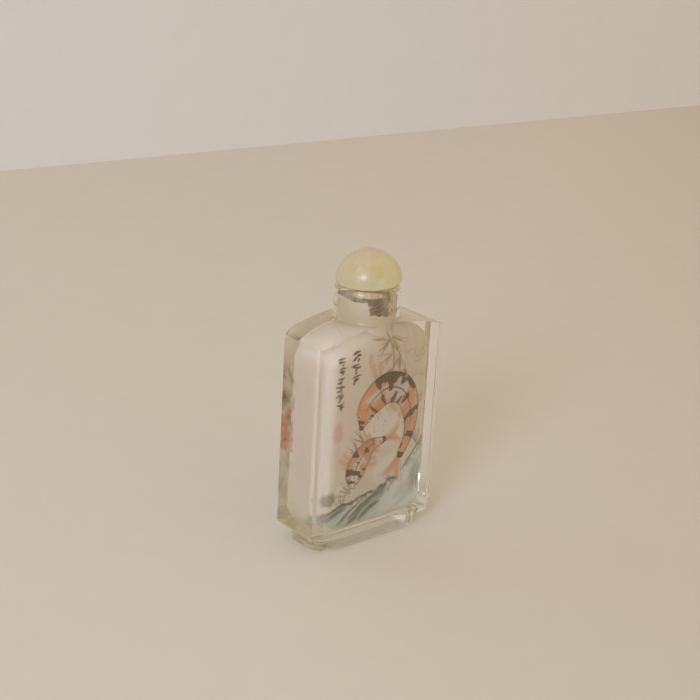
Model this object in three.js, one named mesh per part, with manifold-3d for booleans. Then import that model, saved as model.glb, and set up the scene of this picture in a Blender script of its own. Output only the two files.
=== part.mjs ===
// A clear glass snuff bottle: a flat, eight-sided glass body on a recessed foot, hollow inside, with a
// round neck, a rough cork plug in the neck and a polished domed cap of pale stone on the cork.
// Millimetres, +Z up. The origin is the centre of the foot's underside. +Y is the back, -Y the front.
import * as THREE from 'three';
import { ConvexGeometry } from 'three/addons/geometries/ConvexGeometry.js';
import { mergeVertices } from 'three/addons/utils/BufferGeometryUtils.js';
import Module from 'manifold-3d';

const wasm = await Module();
wasm.setup();

// ---- driving dimensions -------------------------------------------------------------------------

const BODY_WIDTH = 47; // along X, over the two narrow sides
const BODY_DEPTH = 19.6; // along Y, over the front and back faces
const CORNER_CUT_X = 3.2; // the four upright corners are ground off flat: length of the cut along X
const CORNER_CUT_Y = 1.7; // and along Y

const FOOT_HEIGHT = 4.2; // from the table to the underside of the body
const FOOT_LENGTH = 41.4; // along X
const FOOT_DEPTH = 18.2; // along Y
const FOOT_CORNER = 7.2; // radius of the foot's upright corners
const FOOT_EDGE = 0.4; // bevel round the foot's resting edge

const BASE_CORNER = 2; // radius of the body's lower corners, seen from the front
const SHOULDER_APEX = 68.7; // height of the shoulder arch on the bottle's centre line
const SHOULDER_RADIUS = 65; // radius of the arch

const NECK_RADIUS = 9.75;
const NECK_FLARE = 1.2; // radius of the hollow curve between shoulder and neck
const LIP_START = 76.6; // height at which the neck's outer wall begins to round over
const LIP_TOP = 78.2;
const LIP_ROUND = 1.3; // how far the rounded lip comes in

const WALL_SIDE = 4.2; // glass between the cavity and a narrow side
const WALL_FACE = 2.4; // glass between the cavity and the front or back face
const FLOOR_HEIGHT = 5.8; // height of the cavity's floor over the table
const SHOULDER_WALL = 2.0; // glass between the cavity and the shoulder arch
const CAVITY_CORNER = 4; // radius of the cavity's upright corners
const CAVITY_BASE_LEFT = 8; // radii of its lower corners, seen from the front: it is hollowed out by hand
const CAVITY_BASE_RIGHT = 5;
const CAVITY_BASE_EDGE = 3; // radius between its floor and its front and back walls
const CAVITY_TOP_LEFT = 12; // radii of its upper corners, seen from the front
const CAVITY_TOP_RIGHT = 8;
const CAVITY_TOP_EDGE = 6.5; // radius between its ceiling and its front and back walls
const BORE_RADIUS = 5.5; // of the straight bore through the neck

const CORK_RADIUS = 5.2;
const CORK_LENGTH = 8.1; // from the lip down to the end of the whole half
const CORK_STUB = 3.8; // the same for the half that has crumbled away
const CORK_BREAK_ANGLE = THREE.MathUtils.degToRad(-41); // turn of the broken face about Z
const CORK_BREAK_OFFSET = 0.4; // distance of the broken face from the axis
const CORK_HEAD_RADIUS = 7.2; // the cork's spread, glued head between lip and cap

const CAP_RADIUS = 9.65;
const CAP_HEIGHT = 9.4;
const CAP_SEAT = 79.1; // height of the cap's flat underside on its own axis
const CAP_SHIFT = 0.25; // the cap sits this far to the right of the bottle's axis
const CAP_TILT = THREE.MathUtils.degToRad(4); // and its right edge stands up a little
const CAP_EDGE = 0.5; // rounded lower edge of the cap

const GAP = 0.3; // clearance left between two pieces that touch
const ARC_STEPS = 16; // straight steps in each rounded stretch of an outline
const RING_STEPS = 48; // straight steps round the neck, the bore, the cork and the cap

// ---- solids -------------------------------------------------------------------------------------

/** A closed manifold solid from a three.js geometry. */
function solid(geometry) {
  const bare = geometry.index ? geometry.toNonIndexed() : geometry.clone();
  bare.deleteAttribute('normal');
  bare.deleteAttribute('uv');
  const merged = mergeVertices(bare, 1e-4);
  return new wasm.Manifold(
    new wasm.Mesh({
      numProp: 3,
      vertProperties: new Float32Array(merged.attributes.position.array),
      triVerts: new Uint32Array(merged.index.array),
    }),
  );
}

/** A flat-shaded three.js geometry from a manifold solid. */
function geometryOf(manifold) {
  const mesh = manifold.getMesh();
  const geometry = new THREE.BufferGeometry();
  geometry.setAttribute('position', new THREE.BufferAttribute(new Float32Array(mesh.vertProperties), 3));
  geometry.setIndex(new THREE.BufferAttribute(new Uint32Array(mesh.triVerts), 1));
  return geometry;
}

/** Extrudes an outline drawn in X and Z through the thickness of the bottle, centred on Y = 0. */
function throughDepth(shape, depth) {
  const geometry = new THREE.ExtrudeGeometry(shape, { depth, bevelEnabled: false, curveSegments: ARC_STEPS });
  geometry.rotateX(Math.PI / 2);
  geometry.translate(0, depth / 2, 0);
  return solid(geometry);
}

/** Extrudes a plan outline drawn in X and Y upwards from a height. */
function upwards(shape, from, to) {
  const geometry = new THREE.ExtrudeGeometry(shape, {
    depth: to - from,
    bevelEnabled: false,
    curveSegments: ARC_STEPS,
  });
  geometry.translate(0, 0, from);
  return solid(geometry);
}

/** Turns a profile of [radius, height] points about the Z axis. */
function turned(profile) {
  const geometry = new THREE.LatheGeometry(
    profile.map(([radius, height]) => new THREE.Vector2(radius, height)),
    RING_STEPS,
  );
  geometry.rotateX(Math.PI / 2);
  return solid(geometry);
}

/** Points on an ellipse's arc from one angle to another, as [radius, height] pairs. */
function arcPoints(centreR, centreZ, semiR, semiZ, fromDegrees, toDegrees, steps) {
  return Array.from({ length: steps + 1 }, (_, i) => {
    const angle = THREE.MathUtils.degToRad(fromDegrees + ((toDegrees - fromDegrees) * i) / steps);
    return [centreR + semiR * Math.cos(angle), centreZ + semiZ * Math.sin(angle)];
  });
}

/** A plan rectangle with rounded corners, centred on the axis. */
function roundedPlan(length, depth, radius) {
  const x = length / 2 - radius;
  const y = depth / 2 - radius;
  const shape = new THREE.Shape();
  shape.absarc(x, y, radius, 0, Math.PI / 2, false);
  shape.absarc(-x, y, radius, Math.PI / 2, Math.PI, false);
  shape.absarc(-x, -y, radius, Math.PI, 1.5 * Math.PI, false);
  shape.absarc(x, -y, radius, 1.5 * Math.PI, 2 * Math.PI, false);
  return shape;
}

// ---- the glass bottle ---------------------------------------------------------------------------

/** The body's front outline: flat base, small lower corners, upright sides and one low shoulder arch. */
function bodyOutline() {
  const half = BODY_WIDTH / 2;
  const archZ = SHOULDER_APEX - SHOULDER_RADIUS;
  const archEnd = Math.acos(half / SHOULDER_RADIUS);
  const shape = new THREE.Shape();
  shape.absarc(half - BASE_CORNER, FOOT_HEIGHT + BASE_CORNER, BASE_CORNER, -Math.PI / 2, 0, false);
  shape.absarc(0, archZ, SHOULDER_RADIUS, archEnd, Math.PI - archEnd, false);
  shape.absarc(-half + BASE_CORNER, FOOT_HEIGHT + BASE_CORNER, BASE_CORNER, Math.PI, 1.5 * Math.PI, false);
  return shape;
}

/** The body's plan: a rectangle with its four upright corners cut off. */
function bodyPlan() {
  const x = BODY_WIDTH / 2;
  const y = BODY_DEPTH / 2;
  const corners = [
    [x, -y + CORNER_CUT_Y],
    [x, y - CORNER_CUT_Y],
    [x - CORNER_CUT_X, y],
    [-x + CORNER_CUT_X, y],
    [-x, y - CORNER_CUT_Y],
    [-x, -y + CORNER_CUT_Y],
    [-x + CORNER_CUT_X, -y],
    [x - CORNER_CUT_X, -y],
  ];
  return new THREE.Shape(corners.map(([cornerX, cornerY]) => new THREE.Vector2(cornerX, cornerY)));
}

/** The eight-sided body, as the front outline and the plan have it in common. */
function body() {
  return throughDepth(bodyOutline(), BODY_DEPTH + 2).intersect(upwards(bodyPlan(), 0, SHOULDER_APEX + 2));
}

/** The solid foot, a shorter rounded slab under the body with its resting edge eased. */
function foot() {
  const geometry = new THREE.ExtrudeGeometry(
    roundedPlan(FOOT_LENGTH - 2 * FOOT_EDGE, FOOT_DEPTH - 2 * FOOT_EDGE, FOOT_CORNER - FOOT_EDGE),
    {
      depth: FOOT_HEIGHT,
      bevelEnabled: true,
      bevelThickness: FOOT_EDGE,
      bevelSize: FOOT_EDGE,
      bevelSegments: 1,
      curveSegments: ARC_STEPS,
    },
  );
  geometry.translate(0, 0, FOOT_EDGE);
  return solid(geometry);
}

/** The round neck with its flared root and rounded lip, no thicker than the body. */
function neck() {
  const root = SHOULDER_APEX - 4;
  const flareRadius = NECK_RADIUS + NECK_FLARE;
  const archDrop = SHOULDER_RADIUS - Math.sqrt(SHOULDER_RADIUS ** 2 - flareRadius ** 2);
  const flare = SHOULDER_APEX - archDrop + NECK_FLARE;
  const profile = [
    [0, root],
    [flareRadius, root],
    ...arcPoints(flareRadius, flare, NECK_FLARE, NECK_FLARE, 270, 180, 5),
    ...arcPoints(NECK_RADIUS - LIP_ROUND, LIP_START, LIP_ROUND, LIP_TOP - LIP_START, 0, 90, 6),
    [0, LIP_TOP],
  ];
  return turned(profile).intersect(upwards(bodyPlan(), 0, LIP_TOP + 2));
}

/** Points down one side of the cavity's front outline, from the top of its arch to its floor. */
function cavitySide(topCorner, baseCorner) {
  const half = BODY_WIDTH / 2 - WALL_SIDE;
  const archRadius = SHOULDER_RADIUS - SHOULDER_WALL;
  const archZ = SHOULDER_APEX - SHOULDER_RADIUS;
  const cornerX = half - topCorner;
  const cornerZ = archZ + Math.sqrt((archRadius - topCorner) ** 2 - cornerX ** 2);
  const join = THREE.MathUtils.radToDeg(Math.atan2(cornerZ - archZ, cornerX));
  return {
    top: [
      ...arcPoints(0, archZ, archRadius, archRadius, 90, join, 8),
      ...arcPoints(cornerX, cornerZ, topCorner, topCorner, join, 0, 8).slice(1),
    ],
    base: arcPoints(half - baseCorner, FLOOR_HEIGHT + baseCorner, baseCorner, baseCorner, 0, -90, 6),
  };
}

/** How far a rounding of a radius has fallen at a distance from the middle of the cavity's depth. */
function edgeFall(y, radius) {
  const past = Math.max(Math.abs(y) - (BODY_DEPTH / 2 - WALL_FACE - radius), 0);
  return radius - Math.sqrt(Math.max(radius ** 2 - past ** 2, 0));
}

/**
 * The cavity before its upright corners are rounded: the front outline, with the ceiling and the floor
 * rounded over into the front and back walls. It bulges outwards everywhere, so it is the hull of its points.
 */
function cavityBlock() {
  const half = BODY_DEPTH / 2 - WALL_FACE;
  const depths = [0, 0.35, 0.6, 0.8, 0.93, 1].map((share) => half - CAVITY_TOP_EDGE * (1 - share));
  const points = [];
  for (const y of depths.flatMap((depth) => [-depth, depth])) {
    const sides = [
      [-1, cavitySide(CAVITY_TOP_LEFT, CAVITY_BASE_LEFT)],
      [1, cavitySide(CAVITY_TOP_RIGHT, CAVITY_BASE_RIGHT)],
    ];
    for (const [sign, side] of sides) {
      const fall = edgeFall(y, CAVITY_TOP_EDGE);
      const rise = edgeFall(y, CAVITY_BASE_EDGE);
      points.push(...side.top.map(([x, z]) => new THREE.Vector3(sign * x, y, z - fall)));
      points.push(...side.base.map(([x, z]) => new THREE.Vector3(sign * x, y, z + rise)));
    }
  }
  return solid(new ConvexGeometry(points));
}

/** The empty inside of the bottle: the wide cavity and the straight bore that opens it at the lip. */
function hollow() {
  const length = BODY_WIDTH - 2 * WALL_SIDE;
  const depth = BODY_DEPTH - 2 * WALL_FACE;
  const plan = roundedPlan(length, depth, CAVITY_CORNER);
  const cavity = cavityBlock().intersect(upwards(plan, 0, SHOULDER_APEX));
  const bore = turned([
    [0, SHOULDER_APEX / 2],
    [BORE_RADIUS, SHOULDER_APEX / 2],
    [BORE_RADIUS, LIP_TOP + 2],
    [0, LIP_TOP + 2],
  ]);
  return cavity.add(bore);
}

function bottle() {
  return body().add(foot()).add(neck()).subtract(hollow());
}

// ---- the stopper --------------------------------------------------------------------------------

/** The slanting frame of the cap's flat underside. */
function capSeat(drop) {
  const matrix = new THREE.Matrix4().makeRotationY(-CAP_TILT);
  matrix.setPosition(CAP_SHIFT, 0, CAP_SEAT - drop);
  return matrix;
}

/** The domed cap in its own frame: flat below, an eased lower edge, and a dome lower than a half ball. */
function cap() {
  const profile = [
    [0, 0],
    ...arcPoints(CAP_RADIUS - CAP_EDGE, CAP_EDGE, CAP_EDGE, CAP_EDGE, 270, 345, 4),
    ...arcPoints(0, CAP_EDGE, CAP_RADIUS, CAP_HEIGHT - CAP_EDGE, 0, 90, 16),
  ];
  profile[profile.length - 1][0] = 0;
  return turned(profile);
}

/** The cork: a plug in the bore, half of it crumbled short, its spread head cut along the cap's underside. */
function cork() {
  const high = CAP_SEAT + 3;
  const headBase = LIP_TOP + GAP;
  const plug = turned([
    [0, LIP_TOP - CORK_LENGTH],
    [CORK_RADIUS - 0.5, LIP_TOP - CORK_LENGTH],
    [CORK_RADIUS, LIP_TOP - CORK_LENGTH + 0.7],
    [CORK_RADIUS, headBase],
    [CORK_HEAD_RADIUS - 0.3, headBase],
    [CORK_HEAD_RADIUS, headBase + 0.3],
    [CORK_HEAD_RADIUS, high],
    [0, high],
  ]);
  const crumbled = new THREE.BoxGeometry(20, 40, 20);
  crumbled.translate(CORK_BREAK_OFFSET - 10, 0, LIP_TOP - CORK_STUB - 10);
  crumbled.rotateZ(CORK_BREAK_ANGLE);
  const aboveSeat = new THREE.BoxGeometry(40, 40, 20);
  aboveSeat.translate(0, 0, 10);
  aboveSeat.applyMatrix4(capSeat(GAP));
  return plug.subtract(solid(crumbled)).subtract(solid(aboveSeat));
}

// ---- materials and scene ------------------------------------------------------------------------

const clearGlass = new THREE.MeshStandardMaterial({
  color: 0xdfe6dc,
  roughness: 0.05,
  metalness: 0,
  transparent: true,
  opacity: 0.35,
});
const paleStone = new THREE.MeshStandardMaterial({ color: 0xd3cb96, roughness: 0.25, metalness: 0 });
const darkCork = new THREE.MeshStandardMaterial({ color: 0x5b4a3a, roughness: 0.9, metalness: 0 });

/** A named mesh from a solid. */
function piece(name, manifold, material) {
  const mesh = new THREE.Mesh(geometryOf(manifold), material);
  mesh.name = name;
  return mesh;
}

const snuffBottle = new THREE.Group();
snuffBottle.add(piece('bottle', bottle(), clearGlass));

const stopper = new THREE.Group();
stopper.add(piece('stopper_cork', cork(), darkCork));

const capMesh = piece('stopper_cap', cap(), paleStone);
capMesh.position.set(CAP_SHIFT, 0, CAP_SEAT);
capMesh.rotation.y = -CAP_TILT;
stopper.add(capMesh);
snuffBottle.add(stopper);

export default snuffBottle;
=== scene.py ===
"""The looks of a clear glass snuff bottle, painted on the inside and closed with a cork and a pale stone cap.

The classes hold their sizes in millimetres, as the CAD model does, and the meshes are in metres. The origin
is the centre of the foot's underside, +Z is up and -Y is the front. Every surface is worked out with numpy,
as rings of points stacked along a profile or as a grid, and every finish is a tree of procedural nodes.
"""

from __future__ import annotations

import itertools
import logging
import math
from collections.abc import Mapping, Sequence
from dataclasses import dataclass, field
from enum import Enum
from typing import Any

import bpy
import numpy as np
from mathutils import Matrix, Vector


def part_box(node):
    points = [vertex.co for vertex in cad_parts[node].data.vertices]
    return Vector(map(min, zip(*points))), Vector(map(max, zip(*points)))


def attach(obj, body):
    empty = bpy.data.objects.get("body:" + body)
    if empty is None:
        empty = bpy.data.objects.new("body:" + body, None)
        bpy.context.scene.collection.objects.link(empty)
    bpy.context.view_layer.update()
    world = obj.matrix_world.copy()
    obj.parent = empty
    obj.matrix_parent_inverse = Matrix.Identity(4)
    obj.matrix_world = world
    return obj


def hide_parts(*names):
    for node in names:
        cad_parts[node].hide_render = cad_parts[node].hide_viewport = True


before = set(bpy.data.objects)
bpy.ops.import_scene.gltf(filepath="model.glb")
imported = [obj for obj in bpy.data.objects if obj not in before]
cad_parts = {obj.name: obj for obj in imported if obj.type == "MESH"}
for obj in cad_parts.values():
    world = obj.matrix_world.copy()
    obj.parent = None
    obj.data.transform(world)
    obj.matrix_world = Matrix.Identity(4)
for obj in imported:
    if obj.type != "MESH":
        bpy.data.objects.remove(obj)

Array = np.ndarray
Colour = tuple[float, float, float]
Point = tuple[float, float]
Way = tuple[float, float, float]
Spine = tuple[Point, ...]

MM = 0.001
QUARTER = math.pi / 2
LOG = logging.getLogger("snuff_bottle")
LATTICE = 31  # random values each way, after which a cloud repeats

# What a perfectly white matt surface shows as under the studio light, in linear red, green and blue.
STUDIO_WHITE = (0.66, 0.59, 0.49)

# The shares of light that pass the glass to the paint and back, and that turn back inside it to the paint.
PASSED = 0.345
TURNED_BACK = 0.57


# ---- colours ------------------------------------------------------------------------------------


def linear(red: float, green: float, blue: float) -> Colour:
    """Turns display levels from 0 to 255 into linear light.

    Args:
        red, green, blue: The levels as a screen shows them.

    Returns:
        The linear colour.
    """
    levels = np.array([red, green, blue]) / 255
    light = np.where(levels <= 0.04045, levels / 12.92, ((levels + 0.055) / 1.055) ** 2.4)
    return tuple(float(x) for x in light)


def pigment(red: float, green: float, blue: float) -> Colour:
    """The surface colour that shows as these display levels under the studio light.

    Args:
        red, green, blue: The levels wanted on the screen, from 0 to 255.

    Returns:
        The linear light divided by what a white surface shows, kept under 0.95.
    """
    seen = np.array(linear(red, green, blue)) / np.array(STUDIO_WHITE)
    return tuple(float(x) for x in np.clip(seen, 0, 0.95))


def under_glass(red: float, green: float, blue: float) -> Colour:
    """The paint that shows as these display levels when it lies against the inside of the glass.

    The glass lets a share through to the paint and turns most of the scattered light back to it, so paint
    with a reflectance p shows as PASSED * p / (1 - TURNED_BACK * p). This is that formula solved for p.

    Args:
        red, green, blue: The levels wanted on the screen, from 0 to 255.

    Returns:
        The paint's reflectance, kept under 0.95.
    """
    seen = np.array(linear(red, green, blue)) / np.array(STUDIO_WHITE)
    return tuple(float(x) for x in np.clip(seen / (PASSED + TURNED_BACK * seen), 0, 0.95))


# ---- numpy surfaces -----------------------------------------------------------------------------


def ease(low: float, high: float, value: Array) -> Array:
    """A soft step from 0 at low to 1 at high: thrice the square less twice the cube of the share between."""
    share = np.clip((value - low) / (high - low), 0, 1)
    return share * share * (3 - 2 * share)


def cloud(points: Array, cell: float, seed: int, octaves: int = 3) -> Array:
    """A soft random field between 0 and 1.

    Random values stand at the corners of a square lattice, an eased product of the shares joins them, and
    each octave halves both the cell and the strength.

    Args:
        points: Points of two or three coordinates, in the last axis.
        cell: The lattice spacing of the first octave.
        seed: The seed of the random values.
        octaves: How many octaves are added.

    Returns:
        One value for each point.
    """
    dims = points.shape[-1]
    random = np.random.default_rng(seed)
    total = np.zeros(points.shape[:-1])
    for octave in range(octaves):
        table = random.random((LATTICE,) * dims)
        place = points / cell * 2**octave
        base = np.floor(place).astype(int)
        share = place - base
        share = share * share * (3 - 2 * share)
        for corner in itertools.product((0, 1), repeat=dims):
            index = tuple((base[..., k] + corner[k]) % LATTICE for k in range(dims))
            weight = np.prod(np.where(corner, share, 1 - share), axis=-1)
            total += table[index] * weight / 2**octave
    return total / (2 - 2.0 ** (1 - octaves))


def rounded_outline(corners: Sequence[Point], radius: float, spacing: float, arc_steps: int = 6) -> Array:
    """A closed outline of straight sides and round corners, anticlockwise.

    Each corner is an arc that touches both sides. Its centre lies on the corner's bisector, at the radius
    divided by the sine of half the corner's angle, and the arc turns from one touching point to the other.

    Args:
        corners: The sharp corners, anticlockwise.
        radius: The radius of every corner.
        spacing: The longest step along a straight side.
        arc_steps: Steps in each corner's arc.

    Returns:
        The outline's points, one row each.
    """
    sharp = np.array(corners, float)
    before = unit(np.roll(sharp, 1, 0) - sharp)
    after = unit(np.roll(sharp, -1, 0) - sharp)
    half = np.arccos(np.clip((before * after).sum(1), -1, 1)) / 2
    centre = sharp + unit(before + after) * (radius / np.sin(half))[:, None]
    touch = radius / np.tan(half)
    start = sharp + before * touch[:, None] - centre
    end = sharp + after * touch[:, None] - centre
    turn = (math.pi - 2 * half)[:, None, None]
    share = np.linspace(0, 1, arc_steps + 1)[None, :, None]
    arcs = (np.sin((1 - share) * turn) * start[:, None] + np.sin(share * turn) * end[:, None]) / np.sin(turn)
    arcs += centre[:, None]
    rows = []
    for arc, following in zip(arcs, np.roll(arcs, -1, 0)):
        steps = max(1, math.ceil(np.linalg.norm(following[0] - arc[-1]) / spacing))
        along = np.linspace(0, 1, steps + 1)[1:-1, None]
        rows += [arc, arc[-1] + along * (following[0] - arc[-1])]
    return np.concatenate(rows)


def box_corners(length: float, depth: float) -> list[Point]:
    """The corners of a rectangle centred on the axis, anticlockwise."""
    x, y = length / 2, depth / 2
    return [(x, -y), (x, y), (-x, y), (-x, -y)]


def at_bearings(outline: Array, bearings: Array) -> Array:
    """Points of an outline round the axis at given bearings, its reach being interpolated by bearing.

    Args:
        outline: A dense closed outline that every ray from the axis meets once.
        bearings: Angles about the axis, in radians.

    Returns:
        One point for each bearing.
    """
    reach = np.hypot(outline[:, 0], outline[:, 1])
    angle = np.arctan2(outline[:, 1], outline[:, 0])
    order = np.argsort(angle)
    radius = np.interp(bearings, angle[order], reach[order], period=2 * math.pi)
    return circle(radius, bearings)


def unit(way: Array) -> Array:
    """Vectors shortened or stretched to a length of 1, in the last axis."""
    return way / np.maximum(np.linalg.norm(way, axis=-1, keepdims=True), 1e-9)


def heading(angle: float) -> Array:
    """The unit vector at an angle from the right, in degrees."""
    return np.array([math.cos(math.radians(angle)), math.sin(math.radians(angle))])


def leftward(way: Array) -> Array:
    """A way turned a quarter to the left."""
    return np.array([-way[1], way[0]])


def quarter(steps: int) -> tuple[Array, Array]:
    """A quarter circle that turns from level to upright, as shares of its radius.

    Args:
        steps: Into how many parts it is divided.

    Returns:
        What is still to go sideways and what has been climbed, as columns that start at 1 and 0.
    """
    turn = np.linspace(0, QUARTER, steps + 1)[:, None]
    return 1 - np.sin(turn), 1 - np.cos(turn)


def circle(radius: Array | float, bearings: Array) -> Array:
    """Points at a radius and bearings about the axis."""
    return np.stack([radius * np.cos(bearings), radius * np.sin(bearings)], -1)


def outward(plan: Array) -> Array:
    """The way out of a closed outline at each point: its neighbours' difference, turned a quarter back.

    Args:
        plan: The outline's points, anticlockwise.

    Returns:
        One unit vector for each point.
    """
    run = np.roll(plan, -1, -2) - np.roll(plan, 1, -2)
    return unit(np.stack([run[..., 1], -run[..., 0]], -1))


def rings(plan: Array, height: Array | float) -> Array:
    """Gives plans their heights, each spread over the other where it has only one row.

    Args:
        plan: One plan of shape (points, 2), or a stack of them.
        height: A number, one height for each ring in a column, or one for each point.

    Returns:
        Rings of shape (rings, points, 3).
    """
    plan = plan if plan.ndim == 3 else plan[None]
    height = np.asarray(height, float)
    rows = max(plan.shape[0], height.shape[0] if height.ndim == 2 else 1)
    plan = np.broadcast_to(plan, (rows, *plan.shape[1:]))
    height = np.broadcast_to(height, plan.shape[:2])
    return np.concatenate([plan, height[..., None]], -1)


def column(*values: Array | float) -> Array:
    """Values stacked into one column, to be spread over a ring's points."""
    return np.concatenate([np.atleast_1d(v) for v in values])[:, None]


def make_object(name: str, points: Array, faces: list[list[int]]) -> bpy.types.Object:
    """Puts points in millimetres and smooth-shaded faces into a new mesh object at the origin.

    Args:
        name: The piece's name.
        points: The vertices, one row each.
        faces: Vertex numbers of each face, anticlockwise from outside.

    Returns:
        The linked object.
    """
    mesh = bpy.data.meshes.new(name)
    mesh.from_pydata((points * MM).tolist(), [], faces)
    mesh.update()
    mesh.polygons.foreach_set("use_smooth", np.full(len(mesh.polygons), True))
    piece = bpy.data.objects.new(name, mesh)
    bpy.context.scene.collection.objects.link(piece)
    return piece


def ring_object(name: str, stack: Array) -> bpy.types.Object:
    """A closed surface from rings of points, each end closed by a fan to the middle of its last ring.

    Args:
        name: The piece's name.
        stack: Rings of shape (rings, points, 3), anticlockwise from above, running upwards on the outside.

    Returns:
        The linked object.
    """
    count, around = stack.shape[:2]
    points = np.concatenate([stack.reshape(-1, 3), stack[:1].mean(1), stack[-1:].mean(1)])
    number = np.arange(count * around).reshape(count, around)
    following = np.roll(number, -1, 1)
    quads = np.stack([number[:-1], following[:-1], following[1:], number[1:]], -1).reshape(-1, 4)
    first, last = count * around, count * around + 1
    start = np.stack([following[0], number[0], np.full(around, first)], -1)
    end = np.stack([number[-1], following[-1], np.full(around, last)], -1)
    return make_object(name, points, quads.tolist() + start.tolist() + end.tolist())


def grid_object(name: str, grid: Array) -> bpy.types.Object:
    """An open surface from a grid of points.

    Args:
        name: The piece's name.
        grid: Points of shape (rows, columns, 3). The surface faces columns cross rows.

    Returns:
        The linked object.
    """
    rows, columns = grid.shape[:2]
    number = np.arange(rows * columns).reshape(rows, columns)
    quads = np.stack([number[:-1, :-1], number[:-1, 1:], number[1:, 1:], number[1:, :-1]], -1)
    return make_object(name, grid.reshape(-1, 3), quads.reshape(-1, 4).tolist())


# ---- shader nodes -------------------------------------------------------------------------------


class Signal:
    """An output socket, so that shader maths on numbers can be written as a Python expression."""

    def __init__(self, recipe: "Recipe", socket: bpy.types.NodeSocket) -> None:
        """Keeps the tree's recipe and the socket."""
        self.recipe = recipe
        self.socket = socket

    def _maths(self, operation: str, first: Any, second: Any) -> "Signal":
        """Adds one Math node for an operation on two sockets or numbers."""
        return self.recipe.node("ShaderNodeMath", {"operation": operation}, {0: first, 1: second})

    def __add__(self, other: Any) -> "Signal":
        """Sum."""
        return self._maths("ADD", self, other)

    __radd__ = __add__

    def __sub__(self, other: Any) -> "Signal":
        """Difference."""
        return self._maths("SUBTRACT", self, other)

    def __rsub__(self, other: Any) -> "Signal":
        """Difference, with the number first."""
        return self._maths("SUBTRACT", other, self)

    def __mul__(self, other: Any) -> "Signal":
        """Product."""
        return self._maths("MULTIPLY", self, other)

    __rmul__ = __mul__

    def __abs__(self) -> "Signal":
        """Size without its sign."""
        return self.recipe.node("ShaderNodeMath", {"operation": "ABSOLUTE"}, {0: self})


class Recipe:
    """A material's or the world's node tree while it is being put together."""

    def __init__(self, tree: bpy.types.NodeTree) -> None:
        """Empties the tree.

        Args:
            tree: The node tree to fill.
        """
        self.tree = tree
        tree.nodes.clear()

    def node(
        self,
        kind: str,
        settings: Mapping[str, Any] | None = None,
        inputs: Mapping[str | int, Any] | None = None,
        output: str | int = 0,
    ) -> Signal:
        """Adds one node.

        Args:
            kind: The node's type.
            settings: Its settings, set first. "stops" gives a ramp's positions and colours.
            inputs: Values or signals for its sockets, by name or number.
            output: The output to return.

        Returns:
            The chosen output.
        """
        node = self.tree.nodes.new(kind)
        for name, value in (settings or {}).items():
            if name == "stops":
                ramp = node.color_ramp
                while len(ramp.elements) < len(value):
                    ramp.elements.new(0.5)
                for element, (position, colour) in zip(ramp.elements, value):
                    element.position = position
                    element.color = (*colour, 1)
            else:
                setattr(node, name, value)
        for name, value in (inputs or {}).items():
            socket = node.inputs[name]
            if isinstance(value, Signal):
                self.tree.links.new(value.socket, socket)
            elif isinstance(value, tuple) and len(value) == 3 and socket.type == "RGBA":
                socket.default_value = (*value, 1)
            else:
                socket.default_value = value
        return Signal(self, node.outputs[output] if len(node.outputs) else None)

    def mix(self, factor: Any, first: Any, second: Any, blend: str = "MIX") -> Signal:
        """Mixes two colours by a factor."""
        settings = {"data_type": "RGBA", "blend_type": blend, "clamp_factor": True}
        return self.node("ShaderNodeMix", settings, {0: factor, 6: first, 7: second}, 2)

    def ramp(self, factor: Signal, stops: Sequence[tuple[float, Colour]]) -> Signal:
        """A colour ramp over a factor."""
        return self.node("ShaderNodeValToRGB", {"stops": stops}, {"Fac": factor})

    def level(self, factor: Signal, low: float, high: float, start: float = 0.0, end: float = 1.0) -> Signal:
        """Carries a factor between low and high onto start and end, clamped."""
        inputs = {"Value": factor, "From Min": low, "From Max": high, "To Min": start, "To Max": end}
        return self.node("ShaderNodeMapRange", {"clamp": True}, inputs)

    def layers(self, base: Signal, rows: Sequence[tuple[Signal, Point, Point, Colour]]) -> Signal:
        """Lays colours over a base, one after the other.

        Args:
            base: The lowest colour.
            rows: For each layer a signal, the two values between which its cover changes, the cover at
                each of the two, and its colour.

        Returns:
            The colour with every layer on it.
        """
        for signal, reach, cover, tint in rows:
            base = self.mix(self.level(signal, *reach, *cover), base, tint)
        return base

    def place(self, scale: Way = (1, 1, 1)) -> Signal:
        """Object coordinates in millimetres.

        Args:
            scale: How much they are stretched along each axis.

        Returns:
            The coordinates.
        """
        coordinates = self.node("ShaderNodeTexCoord", {}, {}, "Object")
        inputs = {"Vector": coordinates, "Scale": tuple(s / MM for s in scale)}
        return self.node("ShaderNodeMapping", {}, inputs)

    def axis(self, where: Signal, name: str) -> Signal:
        """One coordinate of a place: X, Y or Z."""
        return self.node("ShaderNodeSeparateXYZ", {}, {"Vector": where}, name)

    def along(self, where: Signal, way: Way) -> Signal:
        """How far a place lies from the origin along a way."""
        return self.node("ShaderNodeVectorMath", {"operation": "DOT_PRODUCT"}, {0: where, 1: way}, "Value")

    def noise(self, where: Signal, size: float, detail: float = 3.0, warp: float = 0.0) -> Signal:
        """Noise whose features are about a size in millimetres."""
        inputs = {"Vector": where, "Scale": 1 / size, "Detail": detail, "Distortion": warp}
        return self.node("ShaderNodeTexNoise", {}, inputs)

    def bump(self, height: Signal, depth: float) -> Signal:
        """A normal from a height, whose full range is a depth in millimetres."""
        return self.node("ShaderNodeBump", {}, {"Height": height, "Distance": depth * MM, "Strength": 1.0})


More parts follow.
